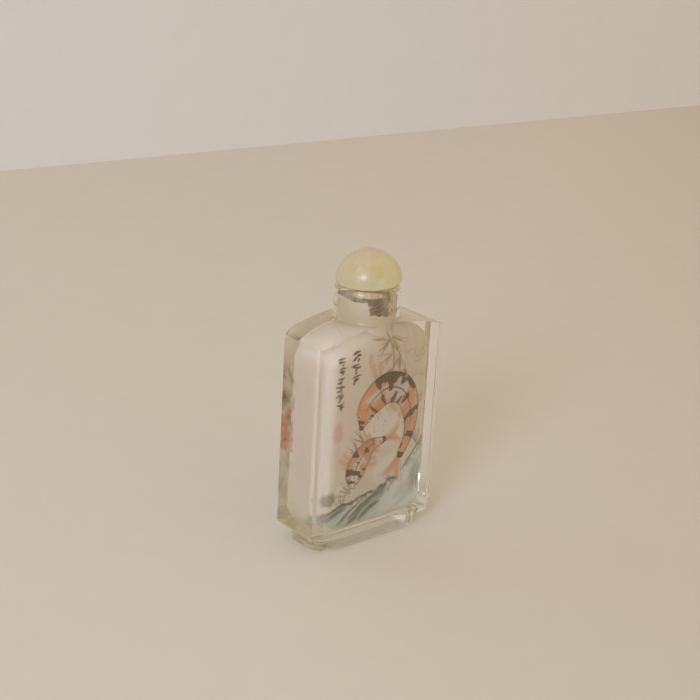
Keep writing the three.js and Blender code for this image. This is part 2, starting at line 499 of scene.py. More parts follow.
def new_material(name: str, surface: Any, volume: Any = None, through: float = 0.0) -> bpy.types.Material:
    """A new material whose Principled sockets are given by a function of its recipe.

    Args:
        name: The material's name.
        surface: A function that takes the recipe and returns the sockets' values or signals.
        volume: A function that takes the recipe and returns the volume's shader, if the material has one.
        through: The share of the light that passes through a thin layer and comes out scattered behind it.

    Returns:
        The material.
    """
    material = bpy.data.materials.new(name)
    material.use_nodes = True
    recipe = Recipe(material.node_tree)
    sockets = surface(recipe)
    shader = recipe.node("ShaderNodeBsdfPrincipled", {}, sockets)
    if through:
        behind = recipe.node("ShaderNodeBsdfTranslucent", {}, {"Color": sockets["Base Color"]})
        shader = recipe.node("ShaderNodeMixShader", {}, {0: through, 1: shader, 2: behind})
    shaders = {"Surface": shader}
    if volume:
        shaders["Volume"] = volume(recipe)
    recipe.node("ShaderNodeOutputMaterial", {}, shaders)
    return material


@dataclass(frozen=True)
class Finish:
    """What the finishes share: the name of their slot, and the material made from their own sockets."""

    slot: str

    def material(self) -> bpy.types.Material:
        """Builds the finish as a material of the slot's name."""
        return new_material(self.slot, self.sockets)

    def sockets(self, recipe: Recipe) -> dict[str, Any]:
        """The Principled sockets of the finish.

        Args:
            recipe: The tree that the nodes go into.

        Returns:
            A value or a signal for each socket that isn't left as it is.
        """
        raise NotImplementedError(self.slot)


@dataclass(frozen=True)
class ClearGlass(Finish):
    """Polished soda glass with a faint yellow-green cast where the light runs far through it."""

    slot: str = "clear_glass"
    index: float = 1.52
    underside: Point = (0.03, 0.1)  # heights between which the foot's underside ends
    scuffed_length: Point = (14.0, 16.5)  # the underside is scuffed, except at its two ends
    scuffed_roughness: float = 0.5
    underside_shade_depth: Point = (3.0, 4.0)  # half the depth of its middle, which carries a painted shade for the shadowed floor seen through it
    underside_shade_shift: float = 2.6  # how far the painted shade lies forward of the middle
    underside_shade_tint: Colour = (0.34, 0.31, 0.18)
    worn_and_shaded_height: Point = (7.0, 8.6)  # the lower corner on the right is worn, and tinted as a painted shade over the lamp's glint, up to here
    worn_and_shaded_reach: Point = (20.6, 21.6)  # and from here outwards
    worn_roughness: float = 0.34
    # a yellowish painted shade that dims the lamp's glint on the worn corner
    glint_shade_tint: Colour = (0.8, 0.81, 0.56)
    clear: Colour = (1.0, 1.0, 1.0)
    cast: Colour = (0.90, 0.93, 0.62)
    cast_density: float = 7.0  # absorption for each metre of glass

    def material(self) -> bpy.types.Material:
        """Builds the glass, with its absorption in the volume."""
        return new_material(self.slot, self.sockets, self.volume)

    def volume(self, recipe: Recipe) -> Signal:
        """The absorption inside the glass."""
        inputs = {"Color": self.cast, "Density": self.cast_density}
        return recipe.node("ShaderNodeVolumeAbsorption", {}, inputs)

    def sockets(self, recipe: Recipe) -> dict[str, Any]:
        """The glass's sockets: polished, but for the foot's scuffed underside, whose middle carries a painted
        shade, and one worn lower corner, whose tint is a painted shade over the lamp's glint.

        Args:
            recipe: The glass's tree.

        Returns:
            The values and signals of its sockets.
        """
        where = recipe.place()
        right, back, height = (recipe.axis(where, name) for name in "XYZ")
        ground = recipe.level(height, *self.underside, 1.0, 0.0)
        scuffed = ground * recipe.level(abs(right), *self.scuffed_length, 1.0, 0.0)
        # Painted shade: the middle of the underside is darkened, standing for the shadowed floor seen through
        # it.
        stained = scuffed * recipe.level(abs(back + self.underside_shade_shift), *self.underside_shade_depth, 1.0, 0.0)
        # The worn corner is rougher, and its yellowish tint is a painted shade that dims the lamp's glint
        # there.
        worn_and_glint_shade = recipe.level(height, *self.worn_and_shaded_height, 1.0, 0.0) * recipe.level(right, *self.worn_and_shaded_reach)
        tint = recipe.mix(worn_and_glint_shade, self.clear, self.glint_shade_tint)
        return {
            "Base Color": recipe.mix(stained, tint, self.underside_shade_tint),
            "Roughness": scuffed * self.scuffed_roughness + worn_and_glint_shade * self.worn_roughness,
            "IOR": self.index,
            "Transmission Weight": 1.0,
        }


@dataclass(frozen=True)
class PaintedGround(Finish):
    """The etched white inside of the glass, with the picture's colours from the mesh's own attribute."""

    slot: str = "painted_ground"
    attribute: str = "paint"
    grain: float = 0.35
    grain_shade: Colour = (0.955, 0.955, 0.955)
    through: float = 0.45

    def material(self) -> bpy.types.Material:
        """Builds the matt paint, through which some of the light passes."""
        return new_material(self.slot, self.sockets, through=self.through)

    def sockets(self, recipe: Recipe) -> dict[str, Any]:
        """The paint's sockets: the painted colour, slightly uneven as the etched ground is.

        Args:
            recipe: The paint's tree.

        Returns:
            The values and signals of its sockets.
        """
        paint = recipe.node("ShaderNodeAttribute", {"attribute_name": self.attribute}, {}, "Color")
        grain = recipe.noise(recipe.place(), self.grain, 4.0)
        shade = recipe.ramp(grain, [(0.3, self.grain_shade), (0.7, (1.0, 1.0, 1.0))])
        return {
            "Base Color": recipe.mix(1.0, paint, shade, "MULTIPLY"),
            "Roughness": 0.9,
            "Specular IOR Level": 0.1,
        }


@dataclass(frozen=True)
class PaleStone(Finish):
    """Waxy, slightly see-through yellow-green stone with clouds, a warm stain and pin-point flecks."""

    slot: str = "pale_stone"
    body: Colour = pigment(172, 157, 120)
    milk: Colour = pigment(178, 161, 125)
    deep: Colour = pigment(172, 153, 110)
    amber: Colour = pigment(183, 169, 127)
    fleck: Colour = pigment(140, 118, 78)
    cloud_size: float = 5.0
    vein_size: float = 2.2
    fleck_size: float = 0.45
    ripple_size: float = 1.4
    ripple_depth: float = 0.004
    stained_side: Way = (0.8, -0.6, 0.0)  # where the amber lies
    stained_reach: Point = (3.0, 10.0)
    glow: Way = (1.0, 0.85, 0.45)  # how far red, green and blue spread under the surface
    glow_depth: float = 4.0
    index: float = 1.55

    def sockets(self, recipe: Recipe) -> dict[str, Any]:
        """The stone's sockets: three clouded colours, then pale veins, the amber stain and the flecks.

        Args:
            recipe: The stone's tree.

        Returns:
            The values and signals of its sockets.
        """
        where = recipe.place()
        clouds = recipe.noise(where, self.cloud_size, 4.0, 0.6)
        veins = recipe.noise(recipe.place((1, 1, 2.2)), self.vein_size, 5.0, 1.2)
        stained = recipe.along(where, self.stained_side) + clouds * 3
        flecks = recipe.noise(where, self.fleck_size, 2.0)
        base = recipe.ramp(clouds, [(0.32, self.deep), (0.5, self.body), (0.68, self.milk)])
        layers = (
            (veins, (0.55, 0.72), (0.0, 0.35), self.milk),
            (stained, self.stained_reach, (0.0, 0.9), self.amber),
            (flecks, (0.74, 0.8), (0.0, 0.55), self.fleck),
        )
        return {
            "Base Color": recipe.layers(base, layers),
            "Roughness": recipe.level(clouds, 0.3, 0.7, 0.22, 0.28),
            "Subsurface Weight": 0.6,
            "Subsurface Radius": self.glow,
            "Subsurface Scale": self.glow_depth * MM,
            "IOR": self.index,
            "Normal": recipe.bump(recipe.noise(where, self.ripple_size, 2.0), self.ripple_depth),
        }


@dataclass(frozen=True)
class DarkCork(Finish):
    """Old crumbly cork, stained dark, with a skirt of amber glue at the top."""

    slot: str = "dark_cork"
    bark: Colour = (0.32, 0.26, 0.185)
    pale: Colour = (0.42, 0.36, 0.265)
    pit: Colour = (0.15, 0.1, 0.055)
    rust: Colour = (0.32, 0.21, 0.12)
    glue: Colour = (0.71, 0.53, 0.3)
    wax: Colour = (0.8, 0.73, 0.59)
    lichen: Colour = (0.4, 0.36, 0.25)
    grain_size: float = 2.4
    pit_size: float = 0.7
    pit_reach: Point = (0.58, 0.68)
    pit_cover: Point = (0.0, 0.8)
    crumb_size: float = 0.9
    relief: float = 0.12
    whole_side: Way = (0.755, -0.656, 0.0)  # the way from the crumbled half to the whole
    rust_place: float = 0.9  # middles of the rusty and the dark band along that way
    dark_place: float = 2.7
    stub_height: Point = (73.2, 74.0)
    glue_height: Point = (75.75, 76.05)

    def sockets(self, recipe: Recipe) -> dict[str, Any]:
        """The cork's sockets: mottled grain, bands, pits and crumbs below, and glue above.

        Args:
            recipe: The cork's tree.

        Returns:
            The values and signals of its sockets.
        """
        where = recipe.place()
        height = recipe.axis(where, "Z")
        along = recipe.along(where, self.whole_side)
        grain = recipe.noise(where, self.grain_size, 5.0, 0.8)
        crumbs = recipe.noise(where, self.crumb_size, 6.0, 1.0)
        pits = recipe.noise(recipe.place((1, 1, 0.6)), self.pit_size, 3.0)
        below = recipe.level(height, *self.stub_height, 1.0, 0.0)
        frayed = recipe.level(along + crumbs * 3, 1.9, 2.4, 1.0, 0.0)
        glued = recipe.level(height + grain * 0.5, *self.glue_height)

        layers = (
            (abs(along + grain * 4 - self.rust_place - 2), (0.4, 1.5), (0.7, 0.0), self.rust),
            (abs(along + grain * 4 - self.dark_place - 2), (0.4, 1.5), (0.7, 0.0), self.pit),
            (along, (-0.8, 0.2), (0.35, 0.0), self.pale),
            (along + grain, (3.4, 5.0), (0.0, 0.5), self.pale),
            (pits, self.pit_reach, self.pit_cover, self.pit),
            (crumbs, (0.36, 0.47), (0.7, 0.0), self.pit),
            (crumbs, (0.52, 0.66), (0.0, 0.7), self.lichen),
            (along + grain * 2 + crumbs * 2, (6.6, 7.6), (0.0, 0.8), self.wax),
        )
        base = recipe.ramp(grain, [(0.32, self.pit), (0.48, self.bark), (0.7, self.pale)])
        base = recipe.mix(below * frayed, recipe.layers(base, layers), self.wax)
        smear = recipe.mix(recipe.level(grain, 0.4, 0.54), self.glue, self.wax)
        pitted = recipe.level(pits, *self.pit_reach, *self.pit_cover)
        return {
            "Base Color": recipe.mix(glued, base, smear),
            "Roughness": recipe.level(glued, 0.0, 1.0, 0.85, 0.35),
            "Normal": recipe.bump(grain - pitted * 0.6, self.relief),
        }


def dress(piece: bpy.types.Object, finish: Finish, node: str = "") -> bpy.types.Object:
    """Gives a piece its finish and its body and, where it replaces a CAD node, hides that node.

    Args:
        piece: The piece.
        finish: Its finish.
        node: The CAD node that it replaces, whose material slot has the finish's name.

    Returns:
        The piece.
    """
    piece.data.materials.append(finish.material())
    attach(piece, "root")
    if node:
        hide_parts(node)
    return piece


# ---- the glass ----------------------------------------------------------------------------------


@dataclass
class GlassBottle:
    """The eight-sided glass body on its foot, with the neck, the bore and the cavity, as one closed skin."""

    corner_cut: Point = (3.2, 1.7)
    ground_edge: float = 0.16
    foot_height: float = 4.2
    foot_size: Point = (41.4, 18.2)
    foot_corner: float = 7.2
    foot_edge: float = 0.4
    base_corner: float = 2.0
    shoulder_apex: float = 68.7
    shoulder_radius: float = 65.0
    shoulder_edge: float = 0.12
    shoulder_edge_least: float = 0.03
    face_margin: float = 0.04
    neck_radius: float = 9.75
    neck_flare: float = 1.2
    lip_start: float = 76.6
    lip_round: float = 1.3
    lip_inner_round: float = 0.3
    wall_side: float = 4.2
    wall_face: float = 2.4
    floor_height: float = 5.8
    shoulder_wall: float = 2.0
    cavity_corner: float = 4.0
    cavity_base_corners: Point = (8.0, 5.0)
    cavity_base_edge: float = 3.0
    cavity_top_corners: Point = (12.0, 8.0)
    cavity_top_edge: float = 6.5
    bore_radius: float = 5.5
    throat_round: float = 0.8
    step: float = 0.34
    low: Vector = field(default_factory=lambda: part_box("bottle")[0] / MM)
    high: Vector = field(default_factory=lambda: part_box("bottle")[1] / MM)

    @property
    def width(self) -> float:
        """The body's width along X."""
        return self.high.x - self.low.x

    @property
    def depth(self) -> float:
        """The body's depth along Y."""
        return self.high.y - self.low.y

    @property
    def lip_top(self) -> float:
        """The height of the lip."""
        return self.high.z

    @property
    def arch_centre(self) -> float:
        """The height of the centre of the shoulder arch, which lies on the axis."""
        return self.shoulder_apex - self.shoulder_radius

    def body_plan(self) -> Array:
        """The body's plan: a rectangle with its upright corners ground off, every edge just eased.

        Returns:
            The plan's points, anticlockwise.
        """
        x, y = self.width / 2, self.depth / 2
        cut_x, cut_y = self.corner_cut
        quarter = [(x, y - cut_y), (x - cut_x, y)]
        left = [(-a, b) for a, b in reversed(quarter)]
        corners = quarter + left + [(-a, -b) for a, b in quarter] + [(a, -b) for a, b in reversed(quarter)]
        return rounded_outline(corners, self.ground_edge, self.step, 3)

    def arch(self, x: Array) -> Array:
        """The shoulder's height over x: a circle's upper half about the arch's centre."""
        return self.arch_centre + np.sqrt(self.shoulder_radius**2 - x**2)

    def underside(self, x: Array) -> Array:
        """The height of the body's underside over x: flat, then a quarter circle up into each narrow side."""
        past = np.clip(np.abs(x) - (self.width / 2 - self.base_corner), 0, self.base_corner)
        return self.foot_height + self.base_corner - np.sqrt(self.base_corner**2 - past**2)

    def cavity_size(self) -> Point:
        """The cavity's length and depth in plan."""
        return self.width - 2 * self.wall_side, self.depth - 2 * self.wall_face

    def edge_fall(self, y: Array, radius: float) -> Array:
        """How far a rounding into the front and back walls has fallen at y."""
        past = np.clip(np.abs(y) - (self.cavity_size()[1] / 2 - radius), 0, radius)
        return radius - np.sqrt(radius**2 - past**2)

    def ceiling(self, x: Array, y: Array) -> Array:
        """The cavity's height: an arch inside the shoulder's, running into a circle at each upper corner.

        Args:
            x, y: The plan's coordinates.

        Returns:
            The height there, lower towards the front and back walls by a quarter circle's fall.
        """
        radius = self.shoulder_radius - self.shoulder_wall
        corner = np.where(x < 0, *self.cavity_top_corners)
        corner_x = self.cavity_size()[0] / 2 - corner
        corner_z = self.arch_centre + np.sqrt((radius - corner) ** 2 - corner_x**2)
        join = corner_x * radius / (radius - corner)
        side = np.clip(np.abs(x) - corner_x, 0, corner)
        arch = np.where(
            np.abs(x) < join,
            self.arch_centre + np.sqrt(radius**2 - np.minimum(np.abs(x), join) ** 2),
            corner_z + np.sqrt(corner**2 - side**2),
        )
        return arch - self.edge_fall(y, self.cavity_top_edge)

    def cavity_floor(self, x: Array, y: Array) -> Array:
        """The cavity floor's height: flat, then a quarter circle up into each wall.

        Args:
            x, y: The plan's coordinates.

        Returns:
            The height there.
        """
        corner = np.where(x < 0, *self.cavity_base_corners)
        past = np.clip(np.abs(x) - (self.cavity_size()[0] / 2 - corner), 0, corner)
        rise = corner - np.sqrt(corner**2 - past**2)
        return self.floor_height + rise + self.edge_fall(y, self.cavity_base_edge)

    def plan_at(self, bearings: Array, size: Point, corner: float) -> Array:
        """A rectangle with round corners, met by a ray at each bearing."""
        return at_bearings(rounded_outline(box_corners(*size), corner, 0.1, 60), bearings)

    def foot(self, plan: Array) -> Array:
        """Rings of the foot: its flat underside, its eased resting edge and its upright wall.

        Args:
            plan: The foot's plan.

        Returns:
            The rings, from the middle of the underside upwards.
        """
        aside, climbed = (self.foot_edge * share[:, 0] for share in quarter(4))
        inset = column(self.foot_corner - 0.8, 3.0, aside, 0, 0, 0, 0)
        height = column(0, 0, climbed, 0.55, 1.5, self.foot_height - 0.2, self.foot_height)
        return rings(plan - inset[..., None] * outward(plan), height)

    def base(self, foot: Array, body: Array) -> Array:
        """Rings of the body's underside, from the foot out, and of its eased lower edge.

        Args:
            foot, body: The plans of the foot and the body.

        Returns:
            The rings, from the foot outwards.
        """
        eased = body - self.ground_edge * outward(body)
        share = np.sin(np.linspace(0, QUARTER, 14))[1:, None, None]
        under = foot + share * (eased - foot)
        aside, climbed = (self.ground_edge * share[1:] for share in quarter(3))
        edge = body - aside[..., None] * outward(body)
        corner = rings(edge, self.underside(edge[..., 0]) + climbed)
        return np.concatenate([rings(under, self.underside(under[..., 0])), corner])

    def shoulder_easing(self, body: Array) -> Array:
        """How far the edge between the walls and the shoulder is eased: less beside the neck's foot.

        Args:
            body: The body's plan.

        Returns:
            A radius for each point.
        """
        root = self.neck_radius + self.neck_flare
        clear = math.sqrt(root**2 - (self.depth / 2) ** 2)
        least = self.shoulder_edge_least
        return least + (self.shoulder_edge - least) * ease(clear, clear + 5, np.abs(body[:, 0]))

    def walls(self, body: Array) -> Array:
        """Rings up the body's upright walls and over the eased edge to the shoulder.

        Args:
            body: The body's plan.

        Returns:
            The rings, upwards.
        """
        edge = self.shoulder_easing(body)
        low = self.underside(body[:, 0]) + self.ground_edge
        high = self.arch(body[:, 0]) - edge
        share = column(0.004, 0.02, 0.1, 0.3, 0.5, 0.7, 0.9, 0.98, 0.996, 1.0)
        fallen, aside = (edge * share[1:] for share in quarter(4))
        top = body - aside[..., None] * outward(body)
        rim = self.arch(top[..., 0]) - fallen
        return np.concatenate([rings(body, low + share * (high - low)), rings(top, rim)])

    def shoulder(self, bearings: Array, body: Array) -> Array:
        """Rings over the shoulder, up the hollow curve at the neck's foot and up the neck.

        The curve keeps inside the front and back faces, where the neck is nearly as wide as the body is deep.

        Args:
            bearings: The bearing of each point of a ring.
            body: The body's plan at those bearings.

        Returns:
            The rings, from the shoulder's edge to the lip.
        """
        root = self.neck_radius + self.neck_flare
        limit = self.depth / 2 - self.face_margin
        reach = np.minimum(root, limit / np.maximum(np.abs(np.sin(bearings)), 0.01))
        flare = circle(reach, bearings)
        edge = body - self.shoulder_easing(body)[:, None] * outward(body)
        share = np.array([0.03, 0.1, 0.2, 0.3, 0.4, 0.5, 0.6, 0.7, 0.8, 0.9, 0.97, 1.0])[:, None, None]
        plan = edge + share * (flare - edge)
        parts = [rings(plan, self.arch(plan[..., 0]))]

        aside, climbed = (share[1:] for share in quarter(7))
        plan = circle(self.neck_radius + (reach - self.neck_radius) * aside, bearings[None])
        start = self.arch(flare[:, 0])
        parts.append(rings(plan, start + self.neck_flare * climbed))

        low = start + self.neck_flare
        share = column(0.04, 0.2, 0.4, 0.6, 0.8, 0.96, 1.0)
        parts.append(rings(circle(self.neck_radius, bearings), low + share * (self.lip_start - low)))
        return np.concatenate(parts)

    def lip(self, bearings: Array) -> Array:
        """Rings over the lip and down into the bore, which stops short of the cavity's ceiling.

        Args:
            bearings: The bearing of each point of a ring.

        Returns:
            The rings, from outside to inside.
        """
        rise = self.lip_top - self.lip_start
        eased = self.lip_inner_round
        turn = np.linspace(0, QUARTER, 9)[1:]
        aside, fallen = (eased * share[:, 0] for share in quarter(4))
        crown = self.neck_radius - self.lip_round
        reach = column(
            crown + self.lip_round * np.cos(turn),
            crown - eased,
            self.bore_radius + 2 * eased,
            self.bore_radius + aside,
            self.bore_radius,
            self.bore_radius,
        )
        height = column(
            self.lip_start + rise * np.sin(turn),
            self.lip_top,
            self.lip_top,
            self.lip_top - fallen,
            self.lip_top - 1,
            self.lip_top - 6,
        )
        return rings(circle(reach, bearings[None]), height)

    def cavity(self, bearings: Array, plan: Array, wall_rows: int, edge_rows: int) -> Array:
        """Rings from the bore's end over the ceiling, down the walls and over the floor to its middle.

        Args:
            bearings: The bearing of each point of a ring.
            plan: The cavity's plan at those bearings.
            wall_rows: Rings down the walls.
            edge_rows: Rings over the ceiling, and half as many over the floor, closest near the walls.

        Returns:
            The rings, from the top down.
        """
        throat = self.bore_radius + self.throat_round
        above, aside = (self.throat_round * share for share in quarter(4))
        mouth = circle(throat, bearings)
        top = self.ceiling(mouth[:, 0], mouth[:, 1])
        parts = [rings(circle(self.bore_radius + aside, bearings[None]), top + above)]

        share = np.sin(np.linspace(0, QUARTER, edge_rows + 1))[1:, None, None]
        level = mouth + share * (plan - mouth)
        parts.append(rings(level, self.ceiling(level[..., 0], level[..., 1])))

        high = parts[-1][-1, :, 2]
        low = self.cavity_floor(plan[:, 0], plan[:, 1])
        share = np.linspace(0, 1, wall_rows + 1)[1:, None]
        parts.append(rings(plan, high + share * (low - high)))

        share = np.cos(np.linspace(0, QUARTER, edge_rows // 2 + 1))[1:-1, None, None]
        level = plan * share
        parts.append(rings(level, self.cavity_floor(level[..., 0], level[..., 1])))
        return np.concatenate(parts)

    def build(self) -> bpy.types.Object:
        """Makes the glass as one closed skin and puts it in the place of the CAD solid.

        Returns:
            The glass piece.
        """
        body = self.body_plan()
        bearings = np.arctan2(body[:, 1], body[:, 0])
        foot = self.plan_at(bearings, self.foot_size, self.foot_corner)
        outside = [self.foot(foot), self.base(foot, body), self.walls(body), self.shoulder(bearings, body)]
        cavity = self.cavity(bearings, self.plan_at(bearings, self.cavity_size(), self.cavity_corner), 10, 36)
        stack = np.concatenate([*outside, self.lip(bearings), cavity])
        return dress(ring_object("glass_bottle", stack), ClearGlass(), "bottle")


# ---- the picture --------------------------------------------------------------------------------


class Press(Enum):
    """How hard the brush is pressed along a stroke, as its share of the full width at even steps."""

    DAB = (0.5, 1.0, 0.95, 0.7, 0.25)
    BLADE = (0.35, 0.9, 1.0, 0.75, 0.4, 0.05)
    LINE = (0.6, 0.8, 1.0, 0.8, 0.9, 0.7, 0.3)
    EVEN = (0.85, 1.0, 1.0, 0.9, 0.8)


@dataclass
class Trace:
    """Where some of a panel's points lie along a brush path."""

    chosen: Array
    along: Array
    aside: Array


def smooth_path(points: Sequence[Point], count: int) -> Array:
    """A smooth line through points: cubics whose slopes are half the differences of the points beside.

    Args:
        points: The points, in order.
        count: How many points the line gets.

    Returns:
        The line's points.
    """
    knots = np.array(points, float)
    knots = np.concatenate([[2 * knots[0] - knots[1]], knots, [2 * knots[-1] - knots[-2]]])
    place = np.linspace(0, len(points) - 1, count)
    index = np.minimum(place.astype(int), len(points) - 2)
    t = (place - index)[:, None]
    a, b, c, d = (knots[index + k] for k in range(4))
    return 0.5 * (2 * b + (c - a) * t + (2 * a - 5 * b + 4 * c - d) * t**2 + (3 * b - a - 3 * c + d) * t**3)


@dataclass
class Panel:
    """One painted face: the ground's points and their colours, worked on with washes and strokes."""

    position: Array
    colour: Array
    seed: int

    def __post_init__(self) -> None:
        """Starts the panel's own random numbers."""
        self.random = np.random.default_rng(self.seed)

    def noise(self, cell: float, seed: int, octaves: int = 3) -> Array:
        """A soft random field over the panel."""
        return cloud(self.position, cell, self.seed + seed, octaves)

    def wash(self, cover: Array, tint: Colour, chosen: Array | slice = slice(None)) -> None:
        """Lays a colour over the panel.

        Args:
            cover: How much of it each point takes, from 0 to 1.
            tint: The colour.
            chosen: The points that it is laid on.
        """
        share = np.clip(cover, 0, 1)[:, None]
        self.colour[chosen] = self.colour[chosen] * (1 - share) + np.array(tint) * share

    def trace(self, path: Array, reach: float) -> Trace:
        """Finds the points near a path, and for each the nearest place on it.

        Args:
            path: The path's points.
            reach: How far from it a point may lie.

        Returns:
            The chosen points, their share of the way along, and their distance aside, positive on the left.
        """
        low, high = path.min(0) - reach, path.max(0) + reach
        chosen = np.flatnonzero(((self.position >= low) & (self.position <= high)).all(1))
        here = self.position[chosen][:, None]
        start, run = path[None, :-1], (path[1:] - path[:-1])[None]
        share = np.clip(((here - start) * run).sum(-1) / np.maximum((run**2).sum(-1), 1e-9), 0, 1)
        gap = here - start - share[..., None] * run
        distance = np.hypot(gap[..., 0], gap[..., 1])
        nearest = distance.argmin(1)
        row = np.arange(len(chosen))
        side = np.sign(run[0, nearest, 0] * gap[row, nearest, 1] - run[0, nearest, 1] * gap[row, nearest, 0])
        along = (nearest + share[row, nearest]) / (len(path) - 1)
        return Trace(chosen, along, side * distance[row, nearest])

    def stroke(
        self,
        points: Sequence[Point],
        width: float,
        tint: Colour,
        press: Press = Press.LINE,
        strength: float = 1.0,
        soft: float = 0.14,
    ) -> None:
        """Draws one brush stroke.

        Args:
            points: Points that the stroke runs through.
            width: Its full width.
            tint: Its colour.
            press: How its width changes along it.
            strength: How much it covers.
            soft: The width of its soft edge.
        """
        path = smooth_path(points, 4 * len(points) + 4)
        found = self.trace(path, width / 2 + soft)
        shares = np.linspace(0, 1, len(press.value))
        half = width / 2 * np.interp(found.along, shares, press.value)
        cover = np.clip((half - np.abs(found.aside)) / soft + 0.5, 0, 1)
        self.wash(cover * strength, tint, found.chosen)

    def blot(
        self,
        centre: Point,
        radii: Point,
        tint: Colour,
        turn: float = 0.0,
        strength: float = 1.0,
        soft: float = 0.3,
        ragged: float = 0.0,
    ) -> None:
        """Lays an oval patch.

        Args:
            centre: Its middle.
            radii: Its two half widths.
            tint: Its colour.
            turn: Its turn, in degrees.
            strength: How much it covers.
            soft: The share of its radius over which it fades out.
            ragged: How far noise pushes its edge in and out, as a share of its radius.
        """
        offset = self.position - np.array(centre)
        c, s = math.cos(math.radians(turn)), math.sin(math.radians(turn))
        turned = np.stack([c * offset[:, 0] + s * offset[:, 1], c * offset[:, 1] - s * offset[:, 0]], -1)
        distance = np.linalg.norm(turned / np.array(radii), axis=1)
        if ragged:
            edge = self.noise(max(radii) * 0.35, int(abs(7 * centre[0] + 3 * centre[1])))
            distance = distance + ragged * (2 * edge - 1)
        self.wash((1 - ease(1 - soft, 1 + soft, distance)) * strength, tint)

    def tuft(
        self,
        root: Point,
        length: float,
        spread: Point,
        count: int,
        width: float,
        tints: Sequence[Colour],
        bend: float = 0.25,
        strength: float = 0.9,
    ) -> None:
        """Draws a tuft of pointed leaves or grass blades from one root.

        Args:
            root: Where the blades start.
            length: Their mean length.
            spread: The first and last direction, in degrees from the right.
            count: How many there are.
            width: Their width.
            tints: Colours to choose from.
            bend: How far the tips curve over, as a share of the length.
            strength: How much each covers.
        """
        for angle in np.linspace(*spread, count):
            along = heading(angle + self.random.uniform(-6, 6))
            reach = length * self.random.uniform(0.7, 1.15)
            aside = leftward(along) * bend * reach * self.random.uniform(-1, 1)
            start = root + along * 0.08 * reach
            middle = root + along * 0.55 * reach + aside * 0.5
            tip = root + along * reach + aside * 0.6
            tint = tints[self.random.integers(len(tints))]
            self.stroke([start, middle, tip], width, tint, Press.BLADE, strength)

    def bare_rim(self, past: Array, start: float, end: float) -> None:
        """Leaves the white ground bare round the picture, with a ragged edge.

        Args:
            past: How far each point lies outside the picture.
            start, end: Where the paint starts to thin out and where it has gone.
        """
        self.wash(ease(start, end, past + 0.8 * (self.noise(2.0, 21) - 0.5)), GROUND)


INK = under_glass(76, 65, 50)
SOFT_INK = under_glass(112, 99, 80)
PAPER = under_glass(179, 166, 140)
OCHRE = under_glass(164, 140, 98)
BROWN = under_glass(128, 108, 80)
TAN = under_glass(168, 152, 127)
TAN_WASH = under_glass(182, 166, 142)
ORANGE = under_glass(184, 128, 88)
DEEP_ORANGE = under_glass(164, 104, 70)
CREAM = under_glass(186, 174, 154)
SEAL_RED = under_glass(178, 128, 112)
ROSE = under_glass(186, 164, 148)
ROCK_LIGHT = (0.94, 1.0, 1.0)
ROCK_BLUE = under_glass(156, 160, 145)
ROCK_DARK = under_glass(96, 95, 80)
GREEN_GREY = under_glass(128, 124, 96)
BLOSSOM = under_glass(196, 132, 110)
BLOSSOM_DEEP = under_glass(138, 72, 58)
PALE_GREEN = under_glass(198, 200, 146)
SNUFF = under_glass(172, 158, 127)
GROUND = (0.96, 0.93, 0.885)
WHITE = (1.0, 1.0, 0.99)


